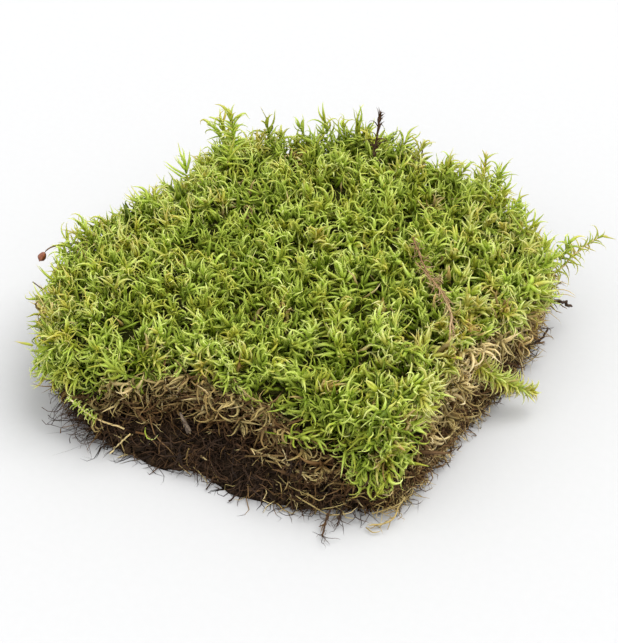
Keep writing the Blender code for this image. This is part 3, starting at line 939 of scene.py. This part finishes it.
class MOSS_OT_dead_thatch(bpy.types.Operator):
    """Hang the dead curled leaves and stems out of the brown sides."""

    bl_idname = "moss.dead_thatch"
    bl_label = "Dead thatch"

    def execute(self, context):
        sizes = context.scene.litter_sizes
        rng = np.random.default_rng(23)
        blades = Blades()
        spots, normals = scatter("brown_thatch", 9000, rng, -0.8, 0.8)
        upper = spots[:, 2] > 0.011
        chosen = spaced(spots, np.where(upper | (normals[:, 0] > 0.55), 0.0019, 0.0026))
        chosen = chosen[hollow_share(spots[chosen]) < CLEAR]
        spots, normals = spots[chosen], normals[chosen]
        count = len(spots)
        height = np.clip((spots[:, 2] - 0.008) / 0.011, 0, 1)
        right = normals[:, 0] > 0.55
        spots = spots + torn_shift(spots, THATCH_FRAY, 0.0)
        lean = unit(normals + rng.normal(0, 0.6, (count, 3)) - UP * 0.25)
        sunk = rng.uniform(0.6, 4.0, count)
        tip = spots - lean * ((sunk + 0.8 * right) * MM)[:, None]
        root = tip - lean * 8 * MM
        front = normals[:, 1] < -0.4
        # lighter towards the top; a shoot sunk deeper is darker, here and in golden below, which is painted
        # shade
        shade = 0.26 + 0.56 * height - 0.08 * (sunk - 2) + rng.normal(0, 0.14, count)
        shade = shade - 0.14 * (front & (spots[:, 0] > -0.012))
        golden = 0.40 + 0.72 * np.clip((spots[:, 2] - 0.01) / 0.009, 0, 1) - 0.06 * (sunk - 2)
        shade = np.where(right, golden + rng.normal(0, 0.08, count), shade)
        fine = rng.uniform(0.7, 1.45, count) * (1 + 0.2 * right)
        fine = np.where(right & (spots[:, 2] < 0.009), 0.75, fine)
        leaf_size = sizes.dead_leaf_length * fine**0.3, sizes.dead_leaf_width * fine
        shoot_leaves(blades, None, root, tip, leaf_size, shade.clip(0.1, 1.0), rng, 8, 0.5, (0.05, 0.98), 1.5)
        tip = np.array(DEAD_TIPS) * MM
        lean = unit(tip * (1, 1, 0) + rng.normal(0, 6 * MM, tip.shape))
        leaf_size = sizes.dead_leaf_length * 1.05, sizes.dead_leaf_width * 1.35
        shade = rng.normal(0.7, 0.06, len(tip)) + 0.1 * (tip[:, 0] > 0.055)
        shoot_leaves(blades, None, tip - lean * 5 * MM, tip, leaf_size, shade, rng, 11, 0.5, (0.5, 0.98), 1.2)
        blades.place("dead_shoots", "dead", "dead_moss", "brown_thatch")

        blades = Blades()
        spots, normals = thatch_spots(1700, rng)
        count = len(spots)
        heading = unit(normals * 0.6 + rng.normal(0, 0.8, (count, 3)) - UP * 0.3)
        bends = [rng.normal(0, spread, count) for spread in (1.4, 1.2, 1.5)]
        base = moved(spots, -normals, 1.5, 5.0, rng)
        routes = short_routes(base, heading, sizes.dead_leaf_length, 0.6, 1.2, bends, rng)
        width = sizes.dead_leaf_width * rng.uniform(0.5, 1.0, count)
        # these leaves lie deeper in, and their dark colour is painted shade; on the right they are paler
        deep_shade = rng.normal(0.3, 0.13, count) + 0.35 * (normals[:, 0] > 0.55)
        blades.add(SHORT, *routes, width, width * 0.5, np.clip(deep_shade, 0.05, 0.85))

        spots, normals = thatch_spots(1300, rng)
        count = len(spots)
        run = unit(along_wall(normals, rng) + rng.normal(0, 0.5, (count, 3)))
        start = moved(spots, -normals, 0.0, 2.2, rng)
        length, wave = rng.uniform(5, 13, count) * MM, rng.uniform(1.0, 3.0, count) * MM
        routes = wavy_routes(start, run, length, wave, FIBRE, rng, 0.1)
        width = rng.uniform(0.22, 0.5, count) * MM
        pale = rng.normal(0.40, 0.2, count) + 0.25 * (normals[:, 0] > 0.55) * (spots[:, 2] > 0.012)
        blades.add(FIBRE, *routes, width, width, np.clip(pale, 0.1, 0.95))

        spots, normals = scatter("brown_thatch", 110, rng, -0.5, 0.7)
        spots = spots + torn_shift(spots, THATCH_FRAY, 0.0)
        count = len(spots)
        run = unit(along_wall(normals, rng) + rng.normal(0, 0.22, (count, 3)))
        length = rng.uniform(12, 26, count) * MM
        start = spots - normals * 0.2 * MM - run * length[:, None] / 2
        routes = wavy_routes(start, run, length, rng.uniform(0.8, 2.4, count) * MM, FIBRE, rng, 0.1)
        width = rng.uniform(0.35, 0.6, count) * MM
        blades.add(FIBRE, *routes, width, width, np.clip(rng.normal(0.64, 0.12, count), 0.3, 0.95))
        blades.place("dead_leaves", "dead", "dead_moss", "brown_thatch")
        return {"FINISHED"}


# ---------------------------------------------------------------- soil


class MOSS_OT_soil_roots(bpy.types.Operator):
    """Bind the soil with fine roots, with a dark fringe where it stands and crumbs caught between."""

    bl_idname = "moss.soil_roots"
    bl_label = "Soil and roots"

    def execute(self, context):
        sizes = context.scene.litter_sizes
        rng = np.random.default_rng(37)
        blades = Blades()
        spots, normals = scatter("soil_mat", 4300, rng, -0.75, 0.75)
        kept = rng.random(len(spots)) < np.where(normals[:, 1] < 0.3, 0.95, 0.4)
        spots, normals = spots[kept], normals[kept]
        spots = spots + torn_shift(spots, 5 * MM, 3.2 * MM)
        count = len(spots)
        right = normals[:, 0] > 0.5
        run = along_wall(normals, rng) + normals * rng.uniform(0, 0.6, (count, 1))
        run = unit(run + rng.normal(0, 0.6, (count, 3)))
        start = moved(spots, -normals, 0.2, 2.4, rng)
        length = sizes.root_length * rng.uniform(0.3, 1.1, count) * np.where(right, 0.7, 1.0)
        routes = wavy_routes(start, run, length, rng.uniform(0.6, 2.8, count) * MM, FINE, rng, 0.12)
        width = sizes.root_width * rng.uniform(0.6, 1.7, count)
        shade = np.clip(rng.normal(0.12, 0.08, count), 0.02, 0.6)
        corner = (spots[:, 0] > 22 * MM) & (spots[:, 1] < -56 * MM)
        pale = rng.random(count) < 0.05 + 0.65 * right + 0.3 * corner
        shade = np.where(pale, rng.uniform(0.4, 0.9, count), shade)
        blades.add(FINE, *routes, width, width, shade)

        spots, normals = scatter("soil_mat", 3000, rng, -0.75, 0.75)
        chance = 0.06 + 0.5 * (patches(spots, 0.035, 2.0) > 0.7) - 0.05 * (normals[:, 0] > 0.5)
        lace = (corner_share(spots) > 0.15) & (spots[:, 0] > -0.054)
        low = (spots[:, 2] < 0.004) & (rng.random(len(spots)) < chance)
        low &= (normals[:, 0] < 0.5) | (rng.random(len(spots)) < 0.12)
        low |= lace & (rng.random(len(spots)) < 0.95)
        spots, normals, lace = spots[low], normals[low], lace[low]
        count = len(spots)
        outward = normals * (1, 1, 0) + rng.normal(0, 1.2, (count, 3)) * (1, 1, 0.3)
        outward = unit(outward + along_wall(normals, rng) * 1.6 * lace[:, None])
        start = spots + torn_shift(spots, 5 * MM, 3.2 * MM) - normals * 1.5 * MM
        start[:, 2] = rng.uniform(0.4, 2.2, count) * MM + np.where(lace, rng.uniform(0, 9, count) * MM, 0)
        length = sizes.root_length * rng.uniform(0.15, 0.85, count) ** 1.3 * np.where(lace, 1.6, 1.0)
        wave = rng.uniform(0.8, 3.2, count) * MM * np.where(lace, 2.4, 1.0)
        routes = wavy_routes(start, outward, length, wave, FIBRE, rng, 0.05)
        width = sizes.root_width * rng.uniform(0.45, 1.1, count)
        blades.add(FIBRE, *routes, width, width, np.clip(rng.normal(0.09, 0.06, count), 0.02, 0.3))
        blades.place("soil_roots", "fibre", "soil", "soil_mat")

        spots, normals = scatter("soil_mat", 3000, rng, -0.75, 0.75)
        torn = (normals[:, 1] < -0.2) & (spots[:, 0] < 0.06)
        kept = rng.random(len(spots)) < np.where(torn, 0.95, 0.25)
        spots, normals = spots[kept], normals[kept]
        spots = spots + torn_shift(spots, 6 * MM, 2.4 * MM)
        pattern, faces = crumb_pattern()
        count = len(spots)
        foot = (spots[:, 2] < 0.0035) & (spots[:, 0] < 0.035) & (normals[:, 1] < -0.3)
        size = sizes.crumb_size * rng.uniform(0.35, 1.5, (count, 1, 1))
        size = size * rng.uniform(0.35, 1.6, (count, 1, 3))
        size = size * np.where(foot & (rng.random(count) < 0.4), 2.0, 1.0)[:, None, None]
        one, two = side_of(normals, rng), normals
        turned = np.stack([one, np.cross(two, one), two], -2)
        points = np.einsum("npk,nkj->npj", pattern[None] * size, turned)
        points += moved(spots, -normals, -0.6, 2.2, rng)[:, None]
        points[..., 2] = np.maximum(points[..., 2], LOWEST)
        faces = faces[None] + (np.arange(count) * len(pattern))[:, None, None]
        piece = mesh_piece("soil_crumbs", points.reshape(-1, 3), faces.reshape(-1, 3), MATERIALS["soil"])
        place_piece(piece, "soil_mat")
        return {"FINISHED"}


# ---------------------------------------------------------------- loose pieces


def spine_of(node, heading, count=8):
    """The middle line of a long solid, from one end to the other, setting off roughly along heading."""
    points = points_of(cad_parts[node])
    centre = points.mean(0)
    axis = np.linalg.svd(points - centre, full_matrices=False)[2][0]
    axis = axis * np.sign(axis @ np.array(heading, float))
    place = (points - centre) @ axis
    low, high = place.min(), place.max()
    line = []
    for middle in np.linspace(low, high, count):
        weight = np.exp(-(((place - middle) / ((high - low) / count * 0.6)) ** 2))
        spot = (points * weight[:, None]).sum(0) / weight.sum()
        line.append(spot + axis * (middle - (spot - centre) @ axis))
    return np.array(line)


def along_line(line, shares):
    """Points at shares of the line's length, which may lie beyond its ends, with the direction there."""
    step = np.linalg.norm(np.diff(line, axis=0), axis=1)
    place = np.concatenate([[0], np.cumsum(step)]) / step.sum()
    shares = np.asarray(shares, float)
    inside = np.clip(shares, 0, 1)

    def at(places):
        return np.stack([np.interp(np.clip(places, 0, 1), place, line[:, k]) for k in range(3)], -1)

    along = unit(at(inside + 0.04) - at(inside - 0.04))
    return at(inside) + along * ((shares - inside) * step.sum())[:, None], along


def add_run(blades, line, width, shade, rng, start=0.0, kinks=0.0, pattern=RUN):
    """One strand along a line, from the share start, with small kinks. Width is its diameter."""
    spots, along = along_line(line, start + (1 - start) * pattern["levels"])
    spots = spots + rng.normal(0, 1, spots.shape) * kinks
    across = unit(np.cross(along, UP + 0.01))
    up = np.cross(along, across)
    one = np.full(1, width)
    blades.add(pattern, spots[None], across[None], up[None], one, one, np.full(1, shade))


def add_leaves(blades, line, count, rng, span, length, width, splay, curl, shade, spread=0.25, pull=None):
    """Leaves in a spiral along a line. Splay and curl are mean angles in degrees."""
    shares = np.linspace(span[0], span[1], count) + rng.normal(0, 0.012, count)
    base, axis = along_line(line, shares)
    first = unit(np.cross(axis, (0.2, 0.3, 0.93)))
    second = np.cross(axis, first)
    turn = np.arange(count) * LEAF_TURN + rng.uniform(-0.4, 0.4, count)
    out = np.cos(turn)[:, None] * first + np.sin(turn)[:, None] * second
    end = np.clip((shares - span[0]) / (span[1] - span[0]), 0, 1)
    routes = bent_routes(
        base,
        axis,
        out,
        length * rng.uniform(0.7, 1.15, count) * (1 - 0.3 * end**3),
        radians(splay) * (1 - 0.55 * end**3) + rng.normal(0, spread, count),
        radians(curl) + rng.normal(0, 2 * spread, count),
        rng.normal(0, 2 * spread, count),
        rng.normal(0, 3 * spread, count),
        LEAF,
        None if pull is None else np.array(pull) * rng.uniform(0.4, 1.2, (count, 1)),
    )
    wide = width * rng.uniform(0.8, 1.15, count)
    blades.add(LEAF, *routes, wide, wide * 0.6, shade + rng.normal(0, 0.05, count))


def add_branches(blades, line, count, rng, length, width, shade):
    """Fine side roots that leave a line and wander."""
    start, along = along_line(line, rng.uniform(0.1, 0.95, count))
    heading = unit(along * 0.6 + rng.normal(0, 0.8, (count, 3)) * (1, 1, 0.35))
    long = length * rng.uniform(0.4, 1.2, count)
    routes = wavy_routes(start, heading, long, 0.18 * long, FIBRE, rng)
    wide = width * rng.uniform(0.7, 1.3, count)
    blades.add(FIBRE, *routes, wide, wide, np.clip(shade + rng.normal(0, 0.04, count), 0.02, 0.98))


def smooth_line(points):
    """A smooth line of 16 points through a few given in millimetres."""
    points = np.array(points, float) * MM
    points = np.vstack([2 * points[0] - points[1], points, 2 * points[-1] - points[-2]])
    place = np.linspace(0, len(points) - 3, 16)
    first = np.minimum(place.astype(int), len(points) - 4)
    u = (place - first)[:, None]
    a, b, c, d = (points[first + k] for k in range(4))
    return b + 0.5 * u * (c - a + u * (2 * a - 5 * b + 4 * c - d + u * (3 * (b - c) + d - a)))


# single strands: width, shade and the points that each runs through, in millimetres
STRAY_STRAWS = (
    (0.6, 0.86, ((17.0, -66, 12.5), (22.5, -66, 12), (28, -66.3, 12), (34.2, -67, 11), (37, -67, 10))),
    (0.4, 0.8, ((33.3, -70.5, 5.5), (38.6, -70.5, 3.6), (44.3, -69.5, 1.5), (47.7, -68, 3.5))),
    (0.35, 0.85, ((43.5, -69.5, 1.6), (48.4, -68.2, 3.0), (50.9, -66, 5.2))),
    (0.3, 0.75, ((41.3, -70, 3.1), (45, -69, 5), (48, -67.3, 6.1))),
    (0.32, 0.8, ((36.3, -69.5, 7), (40.6, -69.8, 6), (42.2, -68.2, 8.6))),
    (0.35, 0.78, ((54.5, -65, 2.9), (57.5, -62.3, 3.6), (60.5, -59.5, 4.9), (61.6, -57, 6))),
    (0.3, 0.7, ((47.8, -67, 6.9), (50.5, -65, 8.2), (53.2, -63.8, 6.6))),
    (0.32, 0.72, ((26, -67, 7), (30, -68.5, 6), (35, -69.5, 6.5), (40, -68.5, 4.5))),
    (0.3, 0.82, ((70.1, 33.5, 17), (73.2, 36, 17), (76.1, 38.2, 15))),
    (0.3, 0.88, ((70, 35.2, 18), (73.1, 36.8, 18), (76.2, 38.8, 15))),
    (1.0, 0.97, ((-5.2, -65.3, 12.2), (-3.9, -65.9, 11.3), (-2.7, -66.5, 10.4))),
    (0.6, 0.9, ((2.2, -69.5, 6.3), (3.2, -69.6, 6), (4.3, -69.5, 5.6))),
)
STRAY_ROOTS = (
    (0.4, 0.3, ((-72.7, -41.7, 24), (-65.2, -44.9, 25), (-57.8, -48.4, 27), (-51.4, -51.3, 29))),
    (0.4, 0.5, ((-15.6, -67.5, 13.2), (-14.2, -69, 10.7), (-11.8, -70.4, 8.1), (-8.9, -70.7, 6.8),
        (-6, -70.9, 4), (-5, -71, 2.4))),
    (0.6, 0.42, ((-18.5, -71.3, 8.4), (-15.1, -70.7, 8.1), (-12.2, -71, 6.4), (-11, -71.3, 5.2))),
    (0.5, 0.62, ((-1.8, -69.3, 7.5), (-1.8, -70.5, 6.1), (-1.3, -71.5, 3.2), (0.4, -72, 2))),
    (0.45, 0.1, ((7.4, -76, 0.8), (7.6, -71.1, 2))), (0.55, 0.08, ((15.4, -77, 0.8), (17, -73.4, 2))),
    (0.45, 0.3, ((-7.9, -73.5, 0.7), (-7.7, -70.4, 3.5))),
    (0.2, 0.2, ((-49.2, -74.3, 8), (-45.5, -74.1, 7), (-42.8, -70.4, 8), (-38.9, -67.1, 10))),
    (0.2, 0.12, ((-48.9, -75.6, 4), (-45.7, -75.9, 3), (-44.8, -73.3, 5), (-40.5, -70.6, 7))),
    (0.18, 0.12, ((-47.6, -72.2, 8), (-47.3, -70.9, 10), (-45, -69.6, 11), (-39.3, -68.6, 11))),
    (0.22, 0.15, ((-37.8, -77.5, 1), (-38.8, -76.3, 2), (-37.8, -75.7, 3), (-35.3, -72.1, 4))),
    (0.3, 0.4, ((-42, -76, 2), (-42.6, -74.6, 3), (-40.7, -74.9, 4), (-37.6, -72.6, 5))),
    (0.2, 0.15, ((-37.7, -74.6, 1.5), (-35.2, -76.2, 1), (-32.8, -75.3, 1), (-30.4, -72.2, 3))),
    (0.2, 0.1, ((-47.7, -73.8, 5), (-44.8, -74, 4), (-42.7, -72.7, 5), (-37.6, -71.3, 4))),
    (0.45, 0.42, ((43.3, -70.4, 3), (43.9, -73.1, 2), (43.8, -74.8, 1.5), (44.4, -76.6, 1))),
    (0.4, 0.3, ((44.1, -73.6, 2), (42.5, -74.7, 1))),
    (0.3, 0.06, ((39, -69.5, 4), (36.9, -71.7, 2), (35, -73.4, 2))),
    (0.3, 0.06, ((38.2, -70, 3), (37, -73.4, 2), (36.2, -74.6, 1))),
    (0.26, 0.06, ((38.8, -70, 3), (38.8, -73, 2), (39.3, -73.8, 1))),
    (0.26, 0.1, ((49.1, -65.6, 3), (50.5, -67.6, 2), (49.1, -70.5, 1))),
    (0.3, 0.12, ((48.8, -66.2, 3), (50.8, -67.5, 2), (54.8, -66.8, 1))),
    (0.22, 0.15, ((40.3, -69.2, 3), (41.7, -71.9, 2), (44.5, -71.1, 1), (47.8, -72.9, 1))),
    (0.55, 0.05, ((59.3, -59, 2), (60.6, -61.6, 1))),
    (0.2, 0.1, ((62.2, -55.7, 2), (63.9, -54.4, 1.5), (64.5, -51.7, 1))),
    (0.4, 0.68, ((54.5, -68.8, 1), (57.2, -69.6, 1), (58.8, -68.1, 1))),
    (0.4, 0.3, ((71.1, 35.8, 13), (74.6, 36.5, 11))),
)
STRAY_LEAVES = (
    (0.5, 0.72, ((-15.8, -70, 10.2), (-15.6, -70.8, 8.6), (-14.2, -71.2, 7.5), (-12.4, -71, 7.8),
        (-11.4, -70, 9.6))),
    (0.9, 0.8, ((-57.7, -64, 21), (-61, -64.2, 20.6), (-64.6, -64.1, 20))),
    (0.8, 0.78, ((-50, 44.9, 43), (-54.8, 46.7, 44), (-59.5, 49.4, 42))),
    (0.8, 0.76, ((-48.7, 45.2, 42), (-47.7, 49, 42), (-46.3, 50.5, 39))),
)


class MOSS_OT_loose_shoots(bpy.types.Operator):
    """Grow the shoots and sprigs that stand out of the cushion or lie against it."""

    bl_idname = "moss.loose_shoots"
    bl_label = "Loose shoots"

    def execute(self, context):
        rng = np.random.default_rng(53)
        specs = (
            # node, heading, leaves, span, length, width, splay, curl, shade, shade of the stem
            ("tall_shoot", (0, 0, 1), 46, (-0.5, 0.86), 8.6, 1.25, 66, 60, 0.66, 0.8),
            ("pale_shoot", (0, 0, 1), 36, (-0.5, 0.80), 7.0, 1.0, 60, 30, 0.76, 0.85),
            ("side_runner", (0, 0, 1), 64, (-0.25, 0.96), 7.6, 0.75, 74, 85, 0.79, 0.85),
            ("lower_sprig", (1, 0, 0), 160, (-0.45, 0.96), 6.2, 1.0, 64, 60, 0.8, 0.85),
            ("fallen_sprig", (-1, 0, 0), 46, (0.42, 0.92), 2.9, 0.75, 76, 110, 0.72, 0.96),
        )
        for node, heading, leaves, span, length, width, splay, curl, shade, stem in specs:
            line = spine_of(node, heading)
            blades = Blades()
            size = length * MM, width * MM
            add_leaves(blades, line, leaves, rng, span, *size, splay, curl, shade, pull=UP * 0.35)
            blades.place(node + "_leaves", "living", "living_moss", node)
            blades = Blades()
            add_run(blades, line, 0.5 * MM, stem, rng, start=-0.45 if span[0] < 0 else 0.0, kinks=0.1 * MM)
            blades.place(node + "_stem", "dead", "living_moss", node)

        blades = Blades()
        line = spine_of("dead_shoot", (0, 0, 1))
        droop = (0.5, 0.2, -0.5)
        add_leaves(blades, line, 34, rng, (-0.4, 0.85), 5.6 * MM, 0.7 * MM, 40, 50, 0.24, 0.4, droop)
        add_run(blades, line, 0.6 * MM, 0.2, rng, start=-0.4)
        blades.place("dead_shoot_leaves", "dead", "brown_moss", "dead_shoot")

        blades = Blades()
        line = spine_of("dry_strand", (1, 0, 0), 10)
        add_leaves(blades, line, 80, rng, (0.0, 1.0), 5.0 * MM, 0.34 * MM, 36, 40, 0.72, 0.5)
        add_run(blades, line, 0.4 * MM, 0.45, rng, kinks=0.16 * MM)
        fork = np.array(((34, 7, 35.6), (40, 2, 36.5), (47, -4, 37), (54, -12, 36), (57, -20, 34.5))) * MM
        add_leaves(blades, fork, 36, rng, (0.2, 1.0), 4.2 * MM, 0.3 * MM, 40, 40, 0.85, 0.5)
        add_run(blades, fork, 0.3 * MM, 0.6, rng, kinks=0.16 * MM)
        blades.place("dry_strand_leaves", "rosy", "straw", "dry_strand")
        return {"FINISHED"}


class MOSS_OT_roots_and_litter(bpy.types.Operator):
    """Make the single roots, the sticks, the needle and the wood chip."""

    bl_idname = "moss.roots_and_litter"
    bl_label = "Roots and litter"

    def execute(self, context):
        rng = np.random.default_rng(61)
        specs = (
            # node, heading, slot, width, shade, branches, branch length, branch width, branch shade
            ("forked_root", (0, -1, 0), "root", 0.5, 0.17, 14, 5.2, 0.17, 0.1),
            ("hooked_root", (0, -1, 0), "root", 0.45, 0.05, 10, 5.0, 0.16, 0.07),
            ("amber_root", (0, -1, 0), "straw", 0.42, 0.7, 14, 5.5, 0.22, 0.66),
            ("bent_stick", (1, 0, 0), "root", 0.85, 0.06, 4, 3.0, 0.4, 0.07),
            ("thin_twig", (0, 0, 1), "root", 0.6, 0.05, 2, 3.0, 0.3, 0.06),
            ("straw_needle", (0, -1, -1), "straw", 0.45, 0.85, 0, 0, 0, 0),
        )
        for node, heading, slot, width, shade, branches, length, thin, dark in specs:
            blades = Blades()
            line = spine_of(node, heading)
            add_run(blades, line, width * MM, shade, rng, start=-0.15, kinks=0.2 * MM * width)
            if branches:
                add_branches(blades, line, branches, rng, length * MM, thin * MM, dark)
            blades.place(node + "_fine", "fibre", slot, node)

        for name, strays, pattern, finish, slot, node in (
            ("stray_straws", STRAY_STRAWS, FIBRE, "dead", "dead_moss", "brown_thatch"),
            ("stray_roots", STRAY_ROOTS, FIBRE, "fibre", "soil", "soil_mat"),
            ("stray_leaves", STRAY_LEAVES, LEAF, "living", "living_moss", "green_cushion"),
        ):
            blades = Blades()
            if strays is STRAY_STRAWS:  # the first of them is a leafy stem
                stem = smooth_line(strays[0][2])
                add_leaves(blades, stem, 22, rng, (0, 1), 5 * MM, 0.7 * MM, 30, 40, 0.85)
            for width, shade, points in strays:
                add_run(blades, smooth_line(points), width * MM, shade, rng, 0.0, 0.06 * MM, pattern)
            blades.place(name, finish, slot, node)

        chip = solid_copy("wood_chip_grained", "wood_chip", MATERIALS["wood"])
        bpy.ops.mesh.subdivide(number_cuts=3, fractal=0.0)
        bpy.ops.transform.resize(value=(0.68, 0.68, 1.0))  # slimmer than its solid
        bpy.ops.transform.vertex_random(offset=0.12 * MM, seed=9)
        bpy.ops.object.mode_set(mode="OBJECT")
        bpy.ops.object.shade_smooth()
        place_piece(chip, "wood_chip")
        return {"FINISHED"}


class MOSS_OT_spore_case(bpy.types.Operator):
    """Make the ribbed spore case and the thin stalk that it nods from."""

    bl_idname = "moss.spore_case"
    bl_label = "Spore case"

    def execute(self, context):
        rng = np.random.default_rng(71)
        low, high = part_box("spore_capsule")
        middle, size = (low + high) / 2, high - low
        deselect()
        bpy.ops.mesh.primitive_uv_sphere_add(segments=32, ring_count=18, radius=0.5)
        case = context.object
        case.name = case.data.name = "spore_case_ribbed"
        points = points_of(case)
        z = points[:, 2] * 2  # from -1 at the stalk to 1 at the beak
        turn = np.arctan2(points[:, 1], points[:, 0])
        ribs = 1 + 0.05 * np.cos(8 * turn) * (1 - z**4)
        shoulder = 1 + 0.16 * np.sin(pi * z / 2)
        mouth = 1 - 0.22 * np.exp(-(((z - 0.72) / 0.1) ** 2))  # the groove under the lid
        points[:, :2] *= (ribs * shoulder * mouth)[:, None] * 2.45 * MM
        beak = 0.55 * MM * np.clip((z - 0.88) / 0.12, 0, 1) ** 2
        points[:, 2] = points[:, 2] * 3.5 * MM + beak
        points[:, :2] *= np.where(z > 0.9, 0.8, 1.0)[:, None]
        hang = Vector((-0.46, -0.24, -0.86)).to_track_quat("Z", "Y").to_matrix()
        move_points(case, points @ np.array(hang).T + np.array(middle))
        case.data.materials.append(MATERIALS["spore_case"])
        select_only(case)
        bpy.ops.object.shade_smooth()
        place_piece(case, "spore_capsule")

        blades = Blades()
        line = spine_of("spore_stalk", (-1, 0, 0))
        neck = np.array(middle) - np.array(hang)[:, 2] * size.z * 0.5
        line = np.vstack([line[:-1], line[-1] * 0.4 + neck * 0.6, neck])
        add_run(blades, line, 0.42 * MM, 0.3, rng, start=-0.35)
        blades.place("spore_stalk_fine", "fibre", "brown_moss", "spore_stalk")
        return {"FINISHED"}


# ---------------------------------------------------------------- stage


class MOSS_OT_stage(bpy.types.Operator):
    """Set up the pale floor, the soft light and the camera."""

    bl_idname = "moss.stage"
    bl_label = "Stage"

    def execute(self, context):
        scene, stage = context.scene, context.scene.stage_sizes
        deselect()
        bpy.ops.mesh.primitive_plane_add(size=8, location=(0, 0, 0))
        floor = context.object
        floor.name = "floor"
        material, tree, shader = node_material("pale_floor", roughness=0.85)
        place = add_node(tree, "ShaderNodeTexCoord").outputs["Object"]
        colour = tuple(scene.moss_colours.floor)
        speckle = ramp(tree, noise(tree, place, 400.0, 3.0), [(0.3, shaded(colour, 0.985)), (0.7, colour)])
        tree.links.new(speckle, shader.inputs["Base Color"])
        floor.data.materials.append(material)

        world = bpy.data.worlds.new("studio")
        world.use_nodes = True
        sky = world.node_tree.nodes["Background"].inputs
        sky["Color"].default_value = (0.985, 0.99, 1.0, 1)
        sky["Strength"].default_value = 1.14
        scene.world = world
        for name, place, spread, power in (
            ("key", (0.45, 0.4, 1.2), 50, 2.9),
            ("front", (-0.5, -0.7, 0.9), 70, 0.7),
        ):
            bpy.ops.object.light_add(type="SUN", location=place)
            light = context.object
            light.name = name
            light.data.energy = power
            light.data.angle = radians(spread)
            light.rotation_euler = (-Vector(place)).to_track_quat("-Z", "Y").to_euler()

        azimuth, elevation = stage.azimuth, stage.elevation
        back = Vector((sin(azimuth) * cos(elevation), -cos(azimuth) * cos(elevation), sin(elevation)))
        bpy.ops.object.camera_add(location=TARGET + back * stage.distance)
        camera = context.object
        camera.name = "camera"
        camera.rotation_euler = back.to_track_quat("Z", "Y").to_euler()
        camera.data.lens = stage.lens
        camera.data.clip_start = 0.01
        scene.camera = camera
        scene.view_settings.view_transform = "Standard"
        return {"FINISHED"}


class MOSS_PT_panel(bpy.types.Panel):
    """Lists the settings and the steps."""

    bl_label = "Moss clump"
    bl_space_type = "VIEW_3D"
    bl_region_type = "UI"
    bl_category = "Moss"

    def draw(self, context):
        for group in GROUPS:
            values = getattr(context.scene, group)
            for name in values.bl_rna.properties.keys():
                if name not in ("rna_type", "name"):
                    self.layout.prop(values, name)
        for step in STEPS:
            self.layout.operator(step.bl_idname)


GROUPS = {
    "moss_sizes": MossSizes,
    "litter_sizes": LitterSizes,
    "moss_colours": MossColours,
    "stage_sizes": StageSizes,
}
STEPS = (
    MOSS_OT_stage,
    MOSS_OT_beds,
    MOSS_OT_living_shoots,
    MOSS_OT_dead_thatch,
    MOSS_OT_soil_roots,
    MOSS_OT_loose_shoots,
    MOSS_OT_roots_and_litter,
    MOSS_OT_spore_case,
)


def register():
    for cls in (*GROUPS.values(), *STEPS, MOSS_PT_panel):
        bpy.utils.register_class(cls)
    for name, cls in GROUPS.items():
        setattr(bpy.types.Scene, name, bpy.props.PointerProperty(type=cls))


def unregister():
    for name in GROUPS:
        delattr(bpy.types.Scene, name)
    for cls in reversed((*GROUPS.values(), *STEPS, MOSS_PT_panel)):
        bpy.utils.unregister_class(cls)


def main():
    register()
    make_materials()
    for step in STEPS:
        group, name = step.bl_idname.split(".")
        getattr(getattr(bpy.ops, group), name)()


if __name__ == "__main__":
    main()
